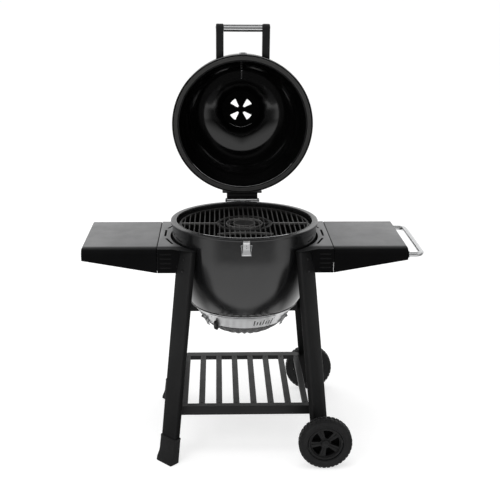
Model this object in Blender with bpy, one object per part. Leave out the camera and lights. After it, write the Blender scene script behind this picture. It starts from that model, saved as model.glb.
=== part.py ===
"""Double-walled charcoal grill on a four-leg cart, lid open. Metres, +Z up.

Laid out with the bowl's axis on X = Y = 0 and the ground at Z = 0. The front is
towards -Y, left is -X, and the wheels are on the right-hand legs. The lid is laid
out closed and hung on its hinge. The last step moves everything so that the
origin is the bottom centre of the whole object's bounding box.
"""
import bpy
import bmesh
from math import cos, sin, pi, radians, sqrt
from mathutils import Matrix, Vector

# ------------------------------------------------------------ driving sizes
BOWL_AXIS = (-0.0316, -0.13163)   # bowl axis in the finished frame
BOWL_R = 0.2790                   # outer shell, upper part
BOWL_TOP_Z = 0.8705               # shell and liner end here, under the rim
RIM_R = 0.2846                    # rolled rim
RIM_TOP = 0.8821
SHELL_BOTTOM_Z = 0.5535
SHELL_BOTTOM_R = 0.2100
SHELL_WAIST_Z = 0.8000            # the shell curves in below this
SHELL_CURVE = 2.4                 # exponent of that curve
BOWL_WALL = 0.0018
LID_RIM_Z = 0.8861                # closed
LID_RIM_R = 0.2888
LID_SKIN_Z = 0.8941               # lower edge of the lid's shell and liner
LID_OPEN = 86.0                   # degrees
HINGE = (0, 0.3185, 0.8785)
HINGE_HALF = 0.0685
GRATE_R, GRATE_TOP = 0.2500, 0.8680
GRATE_BOTTOM = 0.8574
INSERT_R = 0.1015                 # round centre grate
CONE_TOP = (0.2058, 0.5530)       # (radius, z)
CONE_BOTTOM = (0.1630, 0.4905)
LEG_W, LEG_T = 0.0769, 0.0250     # tube section, wide face outward
LEG_WALL = 0.0015
LEG_TOP = (0.2178, 0.2005)        # leg centre at LEG_REF_Z
FRONT_FOOT = (0.2953, 0.2947)     # front leg centre at z = 0
REAR_FOOT = (0.3030, 0.2630)      # rear leg centre at z = 0
LEG_REF_Z = 0.82
LEG_END_Z = 0.8170
WHEEL_X, WHEEL_Y, WHEEL_R = 0.3001, 0.3490, 0.1016
TYRE_W = 0.0450
AXLE_R = 0.0060
SHELF_TOP = 0.8196
SHELF_SEAM_X = 0.3287
SHELF_END_X = 0.6087
SHELF_FRONT, SHELF_REAR = -0.1980, 0.1940
SKIRT_SEAM = 0.0926               # skirt depth at the seam
SKIRT_END = 0.0440                # skirt depth at the shelf's outer end
SHEET = 0.0020
FOLD_X, FOLD_Z = SHELF_SEAM_X + 0.0003, 0.7205    # shelf fold pivot
RACK_TOP = 0.2060

X_AXIS, Y_AXIS = (1, 0, 0), (0, 1, 0)
FRONT_REAR = ((-1, "front"), (1, "rear"))     # sign of Y
LEFT_RIGHT = ((-1, "left"), (1, "right"))     # sign of X

for old in list(bpy.data.objects):
    bpy.data.objects.remove(old, do_unlink=True)

SCENE = bpy.context.scene.collection


# ------------------------------------------------------------ small tools
def material(name, rgb, roughness, metallic):
    mat = bpy.data.materials.new(name)
    mat.use_nodes = True
    shader = mat.node_tree.nodes["Principled BSDF"]
    shader.inputs["Base Color"].default_value = (*rgb, 1.0)
    shader.inputs["Roughness"].default_value = roughness
    shader.inputs["Metallic"].default_value = metallic
    mat.diffuse_color = (*rgb, 1.0)
    return mat


def add_piece(name, mesh, mat, origin=(0, 0, 0), parent=None, smooth=35):
    """Finish a mesh given in the layout frame as an object with its origin at `origin`.

    Edges sharper than `smooth` degrees stay hard.
    """
    bmesh.ops.remove_doubles(mesh, verts=mesh.verts, dist=1e-7)
    bmesh.ops.recalc_face_normals(mesh, faces=mesh.faces)
    bmesh.ops.translate(mesh, verts=mesh.verts, vec=-Vector(origin))
    data = bpy.data.meshes.new(name)
    mesh.to_mesh(data)
    mesh.free()
    piece = bpy.data.objects.new(name, data)
    SCENE.objects.link(piece)
    data.materials.append(mat)
    data.shade_smooth()
    data.set_sharp_from_angle(angle=radians(smooth))
    piece.location = origin
    if parent is not None:
        piece.parent = parent
        piece.location = Vector(origin) - parent.location
    return piece


def lathe(profile, steps, start=0.0, end=2 * pi, push=lambda i, k: (0, 0)):
    """A closed (r, z) loop turned about Z. r = 0 gives a pole.

    push(i, k) gives the (r, z) shift of point k on ray i.
    """
    mesh = bmesh.new()
    full = abs(end - start - 2 * pi) < 1e-9
    ray_count = steps if full else steps + 1
    rays = []
    poles = {}
    for i in range(ray_count):
        angle = start + (end - start) * i / steps
        ray = []
        for k, (radius, z) in enumerate(profile):
            if radius == 0:
                if k not in poles:
                    poles[k] = mesh.verts.new((0, 0, z))
                ray.append(poles[k])
            else:
                shift_r, shift_z = push(i, k)
                reach = radius + shift_r
                ray.append(mesh.verts.new((reach * cos(angle), reach * sin(angle), z + shift_z)))
        rays.append(ray)
    count = len(profile)
    for i in range(steps):
        ray, after = rays[i], rays[(i + 1) % ray_count]
        for k in range(count):
            j = (k + 1) % count
            corners = []
            for vert in (ray[k], after[k], after[j], ray[j]):
                if vert not in corners:
                    corners.append(vert)
            if len(corners) > 2:
                mesh.faces.new(corners)
    if not full:
        mesh.faces.new(rays[0])
        mesh.faces.new(rays[-1][::-1])
    return mesh


def box(x_min, x_max, y_min, y_max, z_min, z_max):
    mesh = bmesh.new()
    size = (x_max - x_min, y_max - y_min, z_max - z_min)
    centre = ((x_min + x_max) / 2, (y_min + y_max) / 2, (z_min + z_max) / 2)
    bmesh.ops.create_cube(mesh, size=1.0)
    bmesh.ops.scale(mesh, verts=mesh.verts, vec=size)
    bmesh.ops.translate(mesh, verts=mesh.verts, vec=centre)
    return mesh


def box_pair(near, far, *limits):
    """Two boxes mirrored in X, each from |x| = near to far."""
    return box(-far, -near, *limits), box(near, far, *limits)


def loft(loops, closed_ring=False):
    """Skin between matching point loops, capped unless the loops close on themselves."""
    mesh = bmesh.new()
    rows = [[mesh.verts.new(point) for point in loop] for loop in loops]
    size = len(rows[0])
    count = len(rows) if closed_ring else len(rows) - 1
    for i in range(count):
        row, after = rows[i], rows[(i + 1) % len(rows)]
        for k in range(size):
            j = (k + 1) % size
            mesh.faces.new((row[k], row[j], after[j], after[k]))
    if not closed_ring:
        mesh.faces.new(rows[0])
        mesh.faces.new(rows[-1][::-1])
    return mesh


def prism(points, axis, low, high):
    """A flat outline pulled along one axis (0-2). Points give the other two in X, Y, Z order."""
    def place(point, level):
        placed = list(point)
        placed.insert(axis, level)
        return placed
    return loft([[place(point, level) for point in points] for level in (low, high)])


def circle(centre, side, up, radius, sides):
    turns = [2 * pi * k / sides for k in range(sides)]
    return [centre + (side * cos(turn) + up * sin(turn)) * radius for turn in turns]


def cylinder(centre, axis, radius, half_length, sides=16):
    axis = Vector(axis).normalized()
    side = axis.orthogonal().normalized()
    up = axis.cross(side)
    return loft([circle(Vector(centre) + axis * offset, side, up, radius, sides)
                 for offset in (-half_length, half_length)])


def sweep(path, radius, sides):
    """Round bar along an open path of points."""
    points = [Vector(point) for point in path]
    last = len(points) - 1
    rows = []
    normal = None
    for i, point in enumerate(points):
        tangent = (points[min(i + 1, last)] - points[max(i - 1, 0)]).normalized()
        if normal is None:
            normal = tangent.orthogonal().normalized()
        normal = (normal - tangent * normal.dot(tangent)).normalized()
        rows.append(circle(point, normal, tangent.cross(normal), radius, sides))
    return loft(rows)


def sector(angle, inner_r, outer_r, spread, inner_share, fractions, z_min, z_max):
    """Prism between two arcs about Z, centred on `angle`, both angles in degrees.

    The outer arc reaches `spread` to each side, the inner one only inner_share of it;
    `fractions` places the arc points.
    """
    def arc(radius, reach):
        turns = [radians(angle) + radians(reach) * f for f in fractions]
        return [(radius * cos(turn), radius * sin(turn)) for turn in turns]
    outline = arc(inner_r, spread * inner_share) + arc(outer_r, spread)[::-1]
    return prism(outline, 2, z_min, z_max)


def joined(*parts):
    """Several loose meshes in one, for use as a boolean operand."""
    out = bmesh.new()
    for part in parts:
        data = bpy.data.meshes.new("part")
        bmesh.ops.recalc_face_normals(part, faces=part.faces)
        part.to_mesh(data)
        part.free()
        out.from_mesh(data)
        bpy.data.meshes.remove(data)
    return out


def boolean(first, second, operation):
    """Exact boolean of two meshes, returned as a new mesh."""
    operands = []
    for mesh in (first, second):
        bmesh.ops.recalc_face_normals(mesh, faces=mesh.faces)
        data = bpy.data.meshes.new("operand")
        mesh.to_mesh(data)
        mesh.free()
        operand = bpy.data.objects.new("operand", data)
        SCENE.objects.link(operand)
        operands.append(operand)
    mod = operands[0].modifiers.new("op", "BOOLEAN")
    mod.operation = operation
    mod.solver = "EXACT"
    mod.use_self = True
    mod.object = operands[1]
    graph = bpy.context.evaluated_depsgraph_get()
    graph.update()
    result = bpy.data.meshes.new_from_object(operands[0].evaluated_get(graph))
    out = bmesh.new()
    out.from_mesh(result)
    for operand in operands:
        data = operand.data
        bpy.data.objects.remove(operand, do_unlink=True)
        bpy.data.meshes.remove(data)
    bpy.data.meshes.remove(result)
    return out


def cut(body, *tools):
    return boolean(body, joined(*tools), "DIFFERENCE")


def union(body, *others):
    for other in others:
        body = boolean(body, other, "UNION")
    return body


def moved(mesh, matrix):
    bmesh.ops.transform(mesh, matrix=matrix, verts=mesh.verts)
    return mesh


def for_side(mesh, side):
    """Mirror a right-hand mesh in X when the side is the left one."""
    if side < 0:
        moved(mesh, Matrix.Scale(-1, 4, X_AXIS))
        bmesh.ops.reverse_faces(mesh, faces=mesh.faces)
    return mesh


# ------------------------------------------------------------ materials
body_black = material("body_black", rgb=(0.035, 0.036, 0.038), roughness=0.28, metallic=0.0)
rim_grey = material("rim_grey", rgb=(0.16, 0.16, 0.165), roughness=0.42, metallic=0.3)
enamel = material("enamel_black", rgb=(0.012, 0.012, 0.013), roughness=0.12, metallic=0.0)
leg_black = material("leg_black", rgb=(0.030, 0.031, 0.033), roughness=0.45, metallic=0.0)
rack_black = material("rack_black", rgb=(0.040, 0.041, 0.043), roughness=0.48, metallic=0.0)
sheet_grey = material("shelf_charcoal", rgb=(0.075, 0.078, 0.082), roughness=0.38, metallic=0.2)
plastic = material("plastic_black", rgb=(0.022, 0.022, 0.023), roughness=0.55, metallic=0.0)
tyre_black = material("tyre_black", rgb=(0.018, 0.018, 0.019), roughness=0.70, metallic=0.0)
iron = material("cast_iron", rgb=(0.030, 0.030, 0.031), roughness=0.58, metallic=0.2)
steel = material("bright_steel", rgb=(0.66, 0.67, 0.68), roughness=0.24, metallic=1.0)
galvanised = material("galvanised", rgb=(0.56, 0.57, 0.58), roughness=0.36, metallic=1.0)
pan_grey = material("pan_grey", rgb=(0.10, 0.10, 0.105), roughness=0.45, metallic=0.5)
chrome = material("chrome", rgb=(0.78, 0.79, 0.80), roughness=0.10, metallic=1.0)
felt = material("felt_black", rgb=(0.020, 0.019, 0.018), roughness=0.95, metallic=0.0)
needle_red = material("needle_red", rgb=(0.55, 0.03, 0.02), roughness=0.40, metallic=0.0)


# ------------------------------------------------------------ bowl
SHELL_OUTER_Z = (SHELL_BOTTOM_Z, 0.573, 0.595, 0.622, 0.655, 0.695, 0.745, BOWL_TOP_Z)
SHELL_INNER_Z = (BOWL_TOP_Z, 0.745, 0.690, 0.640, 0.597, 0.5565)
SHELL_LIP_R = SHELL_BOTTOM_R - 0.0036
# all profiles: (radius, z)
BOWL_RIM = [
    (0.2625, 0.8716), (0.2836, 0.8716), (RIM_R, 0.8728), (RIM_R, 0.8806),
    (0.2836, RIM_TOP), (0.2640, RIM_TOP), (0.2625, 0.8808)]
BOWL_LINER = [
    # inner face, downward
    (0.2625, BOWL_TOP_Z), (0.2625, 0.8572), (0.2455, 0.8568), (0.2445, 0.795), (0.236, 0.720),
    (0.218, 0.655), (0.190, 0.606), (0.150, 0.577), (0.110, 0.5665),
    # outer face, upward
    (0.110, 0.5645), (0.151, 0.5750), (0.1915, 0.6042), (0.220, 0.654), (0.2382, 0.7195),
    (0.2467, 0.795), (0.2475, 0.8546), (0.2645, 0.8550), (0.2645, BOWL_TOP_Z)]


def shell_r(z):
    """Outer radius of the bowl shell at height z."""
    if z >= SHELL_WAIST_Z:
        return BOWL_R
    share = (SHELL_WAIST_Z - z) / (SHELL_WAIST_Z - SHELL_BOTTOM_Z)
    return BOWL_R - (BOWL_R - SHELL_BOTTOM_R) * share ** SHELL_CURVE


shell_profile = [(shell_r(z), z) for z in SHELL_OUTER_Z]
shell_profile += [(shell_r(z) - BOWL_WALL, z) for z in SHELL_INNER_Z]
shell_profile += [(SHELL_LIP_R, SHELL_INNER_Z[-1]), (SHELL_LIP_R, SHELL_BOTTOM_Z)]
add_piece("bowl_shell", lathe(shell_profile, 48), body_black)
add_piece("bowl_rim", lathe(BOWL_RIM, 48), rim_grey)
add_piece("bowl_liner", lathe(BOWL_LINER, 36), enamel)

# ------------------------------------------------------------ charcoal grate
# a slotted round plate held by the liner where it narrows
FIRE_Z, FIRE_TOP = 0.6120, 0.6200
FIRE_R = 0.1915
FIRE_SLOT_PITCH, FIRE_SLOT_HALF = 0.038, 0.009
FIRE_SLOT_REACH = 0.172           # radius at which the slots end
FIRE_BRIDGE_HALF = 0.008          # unslotted strip across the middle


def charcoal_grate():
    plate = lathe([(0, FIRE_Z), (FIRE_R, FIRE_Z), (FIRE_R + 0.002, FIRE_TOP), (0, FIRE_TOP)], 32)
    slots = []
    for i in range(-4, 5):
        x = i * FIRE_SLOT_PITCH
        reach = sqrt(FIRE_SLOT_REACH ** 2 - x * x)
        for near, far in ((FIRE_BRIDGE_HALF, reach), (-reach, -FIRE_BRIDGE_HALF)):
            slots.append(box(x - FIRE_SLOT_HALF, x + FIRE_SLOT_HALF, near, far,
                             FIRE_Z - 0.01, FIRE_Z + 0.02))
    return cut(plate, *slots)


add_piece("charcoal_grate", charcoal_grate(), iron)

# ------------------------------------------------------------ lower cone and ash pan
CONE_WALL = 0.0019
CONE_COLLAR = (0.2060, 0.5640)    # top of the collar above the cone
CONE_SLOPE = (CONE_TOP[0] - CONE_BOTTOM[0]) / (CONE_TOP[1] - CONE_BOTTOM[1])
WINDOW_Z = (0.5020, 0.5320)       # air window
ASH_PAN = [
    (CONE_BOTTOM[0], 0.4895), (0.1290, 0.4600), (0.0870, 0.4390), (0.0500, 0.4315), (0, 0.4300),
    (0, 0.4318), (0.0495, 0.4333), (0.0862, 0.4408), (0.1277, 0.4615), (0.1608, 0.4895)]
RIBBED_POINTS = (1, 2, 7, 8)      # indices into ASH_PAN


def cone_r(z):
    """Outer radius of the lower cone at height z."""
    return CONE_BOTTOM[0] + CONE_SLOPE * (z - CONE_BOTTOM[1])


def rib(i, k):
    return (0.0007, -0.0010) if k in RIBBED_POINTS and i % 2 else (0, 0)


cone_outer = [CONE_BOTTOM, CONE_TOP, CONE_COLLAR]
cone_inner = [(radius - CONE_WALL, z) for radius, z in cone_outer[::-1]]
window = lathe([(0.140, WINDOW_Z[0]), (0.215, WINDOW_Z[0]), (0.215, WINDOW_Z[1]),
                (0.140, WINDOW_Z[1])], 4, radians(-90 - 33), radians(-90 - 24))
add_piece("lower_cone", cut(lathe(cone_outer + cone_inner, 48), window), galvanised)
add_piece("ash_pan", lathe(ASH_PAN, 72, push=rib), pan_grey)

# ------------------------------------------------------------ air damper and pan clips
DAMPER_ORIGIN = (0, 0, 0.52)
BAND_Z = (0.4950, 0.5450)
BAND_NEAR, BAND_FAR = 0.0008, 0.0024      # radial offsets of the band's faces from the cone
BAND_START, BAND_END = radians(-90 - 43), radians(-90 + 36)
KNOB_ANGLE, KNOB_Z = -128.9, 0.5000
CLIP_ANGLES = (-147.5, -32.5)             # left, right
CLIP_Z, CLIP_OFFSET = 0.5170, 0.0062
# clip leaf section: (up the slope, outward)
CLIP_LEAF = [(-0.0005, -0.0016), (-0.0005, 0.0012), (-0.0320, 0.0012),
             (-0.0390, 0.0040), (-0.0405, 0.0028), (-0.0335, -0.0006)]


def cone_frame(angle, z, offset):
    """Frame on the cone's outside: X tangent, Y up the slope, Z outward."""
    radial = Vector((cos(radians(angle)), sin(radians(angle)), 0))
    tangent = Vector((-sin(radians(angle)), cos(radians(angle)), 0))
    upslope = (radial * CONE_SLOPE + Vector((0, 0, 1))).normalized()
    normal = tangent.cross(upslope).normalized()
    origin = radial * cone_r(z) + Vector((0, 0, z)) + normal * offset
    axes = Matrix((tangent, upslope, normal)).transposed()
    return Matrix.Translation(origin) @ axes.to_4x4()


def damper_knob():
    knob = box(-0.0085, 0.0085, -0.0235, 0.0235, 0.0032, 0.0165)
    bmesh.ops.bevel(knob, geom=knob.edges[:], offset=0.0045, segments=2, profile=0.5,
                    affect="EDGES")
    # the heel is relieved so that the ash pan's rim passes inside it
    relief = lathe([(0, 0.4500), (0.1662, 0.4500), (0.1662, 0.4908), (0, 0.4908)], 96)
    return cut(moved(knob, cone_frame(KNOB_ANGLE, KNOB_Z, 0.0)), relief)


band = [(cone_r(z) + BAND_NEAR, z) for z in BAND_Z]
band += [(cone_r(z) + BAND_FAR, z) for z in BAND_Z[::-1]]
add_piece("damper_band", lathe(band, 26, BAND_START, BAND_END), galvanised, origin=DAMPER_ORIGIN)
add_piece("damper_knob", damper_knob(), plastic, origin=DAMPER_ORIGIN)

for (_, side_name), clip_angle in zip(LEFT_RIGHT, CLIP_ANGLES):
    frame = cone_frame(clip_angle, CLIP_Z, CLIP_OFFSET)
    clip = union(prism(CLIP_LEAF, 0, -0.0105, 0.0105),
                 cylinder((0, 0, 0), X_AXIS, 0.0028, 0.0135, 12))
    add_piece("clip_" + side_name, moved(clip, frame), steel, origin=tuple(frame.to_translation()))

# ------------------------------------------------------------ legs and feet
LEG_BOTTOM = {-1: 0.0085, 1: 0.0700}      # left legs stand in feet, right legs on wheels
DIAGONAL = sqrt(0.5)                      # the legs' faces stand at 45 degrees to X and Y
# foot sections, outside upward then inside downward: (z, growth over the leg, toe flare)
FOOT_SECTIONS = [
    (0.0, 0.0066, 0.012), (0.012, 0.0066, 0.011), (0.040, 0.0066, 0.001), (0.1000, 0.0066, 0.0),
    (0.1000, 0.0008, 0.0), (0.0080, 0.0008, 0.0)]


def leg_centre(z, end):
    """(|x|, |y|) of a leg's centre at height z; end is the sign of Y."""
    foot = FRONT_FOOT if end < 0 else REAR_FOOT
    share = z / LEG_REF_Z
    return tuple(low + (top - low) * share for low, top in zip(foot, LEG_TOP))


def leg_section(z, side, end, growth=0.0, flare=0.0):
    """Corners of the leg's level section; growth widens it, flare shifts the outer face."""
    centre_x, centre_y = leg_centre(z, end)
    wide, deep = (LEG_W + growth) / 2, (LEG_T + growth) / 2
    corners = []
    for along, out in ((wide, deep + flare), (-wide, deep + flare), (-wide, -deep), (wide, -deep)):
        corners.append(((centre_x + (along + out) * DIAGONAL) * side,
                        (centre_y + (-along + out) * DIAGONAL) * end, z))
    return corners


def leg(side, end):
    bottom = LEG_BOTTOM[side]
    inside = -2 * LEG_WALL
    tube = loft([leg_section(bottom, side, end), leg_section(LEG_END_Z, side, end),
                 leg_section(LEG_END_Z, side, end, inside),
                 leg_section(bottom, side, end, inside)], closed_ring=True)
    if side > 0:
        tube = cut(tube, cylinder((WHEEL_X, 0.30 * end, WHEEL_R), Y_AXIS, AXLE_R + 0.0004, 0.1, 12))
    return tube


for end, end_name in FRONT_REAR:
    for side, side_name in LEFT_RIGHT:
        add_piece(f"leg_{end_name}_{side_name}", leg(side, end), leg_black, smooth=25)
    foot_loops = [leg_section(z, -1, end, growth, flare) for z, growth, flare in FOOT_SECTIONS]
    add_piece(f"foot_{end_name}", loft(foot_loops), plastic, smooth=25)

# ------------------------------------------------------------ rack under the bowl
RAIL_WALL = 0.0020
SLATS, SLAT_PITCH, SLAT_W = 8, 0.0667, 0.0240
SLAT_WALL = 0.0015
SLAT_FRONT, SLAT_REAR = -0.2217, 0.2357
# name, y min, y max, z min, z max
RAILS = [
    ("rail_front", -0.2494, -0.2220, 0.1700, RACK_TOP),
    ("rail_rear", 0.2360, 0.2760, 0.1880, RACK_TOP),
    ("stretcher_rear", 0.2220, 0.2470, 0.4175, 0.4535)]


def rail(y_min, y_max, z_min, z_max):
    """Straight rectangular tube, open at both ends, mitred to the legs' inner faces."""
    end = 1 if y_min > 0 else -1
    near, far = sorted((abs(y_min), abs(y_max)))
    centre_x, centre_y = leg_centre(z_max, end)
    face_sum = centre_x + centre_y - LEG_T / sqrt(2)      # |x| + |y| along the inner face
    x_far = face_sum - far - 0.0007
    x_near = min(face_sum - near - 0.0007, x_far + 0.0145)
    y_mitre = min(far - (x_near - x_far), far - 1e-4)
    points = [(x_far, far * end), (x_near, y_mitre * end), (x_near, near * end)]
    outline = points + [(-x, y) for x, y in points[::-1]]
    hollow = box(-0.5, 0.5, y_min + RAIL_WALL, y_max - RAIL_WALL,
                 z_min + RAIL_WALL, z_max - RAIL_WALL)
    return cut(prism(outline, 2, z_min, z_max), hollow)


def slat(x):
    """Flat tube with eased corners, open at both ends."""
    def ring(y, inset, ease):
        left, right = x - SLAT_W / 2 + inset, x + SLAT_W / 2 - inset
        low, high = RACK_TOP - 0.0125 + inset, RACK_TOP - 0.0003 - inset
        return [(left + ease, y, low), (right - ease, y, low),
                (right, y, low + ease), (right, y, high - ease),
                (right - ease, y, high), (left + ease, y, high),
                (left, y, high - ease), (left, y, low + ease)]
    return loft([ring(SLAT_FRONT, 0, 0.0016), ring(SLAT_REAR, 0, 0.0016),
                 ring(SLAT_REAR, SLAT_WALL, 0.0008), ring(SLAT_FRONT, SLAT_WALL, 0.0008)],
                closed_ring=True)


for rail_name, *limits in RAILS:
    add_piece(rail_name, rail(*limits), rack_black, smooth=25)
for i in range(SLATS):
    slat_x = (i - (SLATS - 1) / 2) * SLAT_PITCH
    add_piece(f"slat_{i + 1}", slat(slat_x), rack_black, smooth=25)

# ------------------------------------------------------------ shelf brackets and folding shelves
BRACKET_END_X = 0.3275
BRACKET_ARC_R, BRACKET_ARC = 0.2870, radians(50.4)    # edge round the bowl, half its angle
BRACKET_TIP = (0.1985, 0.2375)                        # (x, |y|) of the tips beside the legs
BRACKET_SHOULDER_X = 0.2720
BRACKET_LUG_Y, SHELF_EAR_Y = (-0.120, 0.116), (-0.132, 0.128)
SHELF_X = SHELF_SEAM_X + 0.0013                       # shelf edge at the seam
FOLD_ORIGIN = (FOLD_X, 0, FOLD_Z)
LUG_HALF = 0.0030
VENT_SLOT_W = 0.0085
# slots through the bracket's top: (x, y) of each end
VENT_SLOTS = [((0.3065, -0.020), (0.3065, 0.066)), ((0.3000, -0.055), (0.2660, -0.1480)),
              ((0.3000, 0.090), (0.2720, 0.1560))]


def fold_knuckle(y):
    return cylinder((FOLD_X, y, FOLD_Z), Y_AXIS, 0.0055, LUG_HALF, 12)


def fold_bore():
    return cylinder(FOLD_ORIGIN, Y_AXIS, 0.0031, 0.3, 12)


def skirt_edge(y, z, end):
    """X at which a skirt standing at depth y clears the leg beside it, at height z."""
    centre_x, centre_y = leg_centre(z, end)
    corner_y = centre_y - (LEG_W - LEG_T) / 2 * DIAGONAL
    depth = min(max(corner_y, abs(y) - SHEET), abs(y))
    return min(centre_x + centre_y + LEG_T * DIAGONAL - depth,
               centre_x - centre_y + LEG_W * DIAGONAL + depth) + 0.0010


def vent_slot(start, end):
    start, end = Vector(start), Vector(end)
    along = (end - start).normalized()
    half = Vector((-along.y, along.x)) * VENT_SLOT_W / 2
    outline = [tuple(p) for p in (start + half, end + half, end - half, start - half)]
    return prism(outline, 2, SHELF_TOP - 0.01, SHELF_TOP + 0.01)


def bracket():
    """Right-hand fixed bracket."""
    angles = [-BRACKET_ARC + 2 * BRACKET_ARC * k / 12 for k in range(13)]
    outline = [(BRACKET_ARC_R * cos(a), BRACKET_ARC_R * sin(a)) for a in angles]
    outline += [BRACKET_TIP, (BRACKET_SHOULDER_X, SHELF_REAR), (BRACKET_END_X, SHELF_REAR),
                (BRACKET_END_X, SHELF_FRONT), (BRACKET_SHOULDER_X, SHELF_FRONT),
                (BRACKET_TIP[0], -BRACKET_TIP[1])]
    low, high = SHELF_TOP - SKIRT_SEAM, SHELF_TOP - 0.0005

    def flange(y, end):
        """Front or rear skirt, its inner edge raked to meet the leg."""
        face = [(skirt_edge(y, low, end), low), (BRACKET_END_X - 0.0005, low),
                (BRACKET_END_X - 0.0005, high), (skirt_edge(y, high, end), high)]
        return prism(face, 1, *sorted((y, y - end * SHEET)))

    parts = [box(BRACKET_END_X - SHEET, BRACKET_END_X, SHELF_FRONT, SHELF_REAR, low, high),
             flange(SHELF_FRONT, -1), flange(SHELF_REAR, 1)]
    for y in BRACKET_LUG_Y:
        tab = box(BRACKET_END_X - SHEET - 0.0003, BRACKET_END_X - 0.0001,
                  y - LUG_HALF, y + LUG_HALF, FOLD_Z - 0.001, low + 0.004)
        parts.append(union(fold_knuckle(y), tab))
    body = union(prism(outline, 2, SHELF_TOP - SHEET, SHELF_TOP), *parts)
    return cut(body, *[vent_slot(*ends) for ends in VENT_SLOTS], fold_bore())


def shelf():
    """Right-hand folding shelf: plate, four skirts and two pierced ears."""
    top = SHELF_TOP
    cheek = [(SHELF_X, top - 0.0005), (SHELF_END_X - 0.0004, top - 0.0005),
             (SHELF_END_X - 0.0004, top - SKIRT_END),
             (SHELF_END_X - 0.030, top - SKIRT_END - 0.003), (SHELF_X, top - SKIRT_SEAM)]
    y_span = (SHELF_FRONT + 0.001, SHELF_REAR - 0.001)
    parts = [prism(cheek, 1, SHELF_FRONT + 0.0002, SHELF_FRONT + SHEET),
             prism(cheek, 1, SHELF_REAR - SHEET, SHELF_REAR - 0.0002),
             box(SHELF_END_X - SHEET, SHELF_END_X - 0.0002, *y_span,
                 top - SKIRT_END, top - 0.0007),
             box(SHELF_X + 0.0002, SHELF_X + SHEET, *y_span, 0.7300, top - 0.0007)]
    arm = [(SHELF_SEAM_X + 0.0018, FOLD_Z - 0.0035), (SHELF_SEAM_X + 0.0052, FOLD_Z - 0.001),
           (SHELF_X + 0.0019, 0.7330), (SHELF_X + 0.0003, 0.7330)]
    for y in SHELF_EAR_Y:
        parts.append(union(fold_knuckle(y), prism(arm, 1, y - LUG_HALF, y + LUG_HALF)))
    plate = box(SHELF_X, SHELF_END_X, SHELF_FRONT, SHELF_REAR, top - SHEET, top)
    return cut(union(plate, *parts), fold_bore())


for side, side_name in LEFT_RIGHT:
    add_piece(f"bracket_{side_name}", for_side(bracket(), side), sheet_grey, smooth=25)
    add_piece(f"shelf_{side_name}", for_side(shelf(), side), sheet_grey,
              origin=(side * FOLD_X, 0, FOLD_Z), smooth=25)
    add_piece(f"fold_pin_{side_name}",
              cylinder((side * FOLD_X, -0.002, FOLD_Z), Y_AXIS, 0.0028, 0.142, 10), chrome)

# ------------------------------------------------------------ towel bar on the right shelf
TOWEL_X, TOWEL_R, TOWEL_Z = 0.6625, 0.0095, 0.7950
TOWEL_FRONT, TOWEL_REAR = -0.1905, 0.1805
TOWEL_BEND = 0.030                # centreline radius of the two bends
towel_start_x = SHELF_END_X + 0.0004
bend_x = TOWEL_X - TOWEL_BEND
bend_angles = [radians(90 * k / 6) for k in range(7)]
towel_path = [(towel_start_x, TOWEL_FRONT, TOWEL_Z)]
towel_path += [(bend_x + TOWEL_BEND * sin(a), TOWEL_FRONT + TOWEL_BEND - TOWEL_BEND * cos(a),
                TOWEL_Z) for a in bend_angles]
towel_path += [(bend_x + TOWEL_BEND * cos(a), TOWEL_REAR - TOWEL_BEND + TOWEL_BEND * sin(a),
                TOWEL_Z) for a in bend_angles]
towel_path.append((towel_start_x, TOWEL_REAR, TOWEL_Z))
add_piece("towel_bar", sweep(towel_path, TOWEL_R, 12), steel, origin=FOLD_ORIGIN)

# ------------------------------------------------------------ wheels
HUB_BORE_R = AXLE_R + 0.0005
TYRE_HALF = TYRE_W / 2
# profiles about the axle: (radius, distance along it)
TYRE = [
    (0.0660, -TYRE_HALF + 0.004), (0.0700, -TYRE_HALF), (0.0950, -TYRE_HALF),
    (WHEEL_R, -TYRE_HALF + 0.007), (WHEEL_R, TYRE_HALF - 0.007),
    (0.0950, TYRE_HALF), (0.0700, TYRE_HALF), (0.0660, TYRE_HALF - 0.004)]
HUB_HALF = [(HUB_BORE_R, 0.0170), (0.0160, 0.0170), (0.0180, 0.0090),
            (0.0560, 0.0090), (0.0580, 0.0165), (0.0655, 0.0165)]
HUB = [(radius, -z) for radius, z in HUB_HALF] + HUB_HALF[::-1]


def on_axle(mesh, y):
    """Turn a lathe about Z into one about the axle; its +Z becomes -Y."""
    turn = Matrix.Rotation(radians(90), 4, "X")
    return moved(mesh, Matrix.Translation((WHEEL_X, y, WHEEL_R)) @ turn)


def hub(end):
    """Hub with five pockets, open only on the wheel's outer face."""
    depth = (-0.0045, 0.03) if end < 0 else (-0.03, 0.0045)
    pockets = [sector(6 + 72 * k, 0.0230, 0.0530, 24, 0.45, (-1, 0, 1), *depth) for k in range(5)]
    return cut(lathe(HUB, 25), *pockets)


add_piece("axle", cylinder((WHEEL_X, 0, WHEEL_R), Y_AXIS, AXLE_R, WHEEL_Y + 0.0205, 14), chrome)
for end, end_name in FRONT_REAR:
    wheel_centre = (WHEEL_X, end * WHEEL_Y, WHEEL_R)
    add_piece(f"tyre_{end_name}", on_axle(lathe(TYRE, 36), end * WHEEL_Y), tyre_black,
              origin=wheel_centre)
    add_piece(f"hub_{end_name}", on_axle(hub(end), end * WHEEL_Y), plastic, origin=wheel_centre)

# ------------------------------------------------------------ cooking grates
BAR_PITCH, BAR_HALF = 0.0192, 0.003
GRATE_INNER_R = 0.2430            # inside of the outer ring
OPENING_R, OPENING_OUTER_R = 0.1025, 0.1080      # ring round the centre opening
BAR_START_R, BAR_END_R = 0.1052, 0.2465          # the bars end inside the two rings


def ring(inner_r, outer_r, low, high, steps):
    return lathe([(inner_r, low), (outer_r, low), (outer_r, high), (inner_r, high)], steps)


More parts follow.
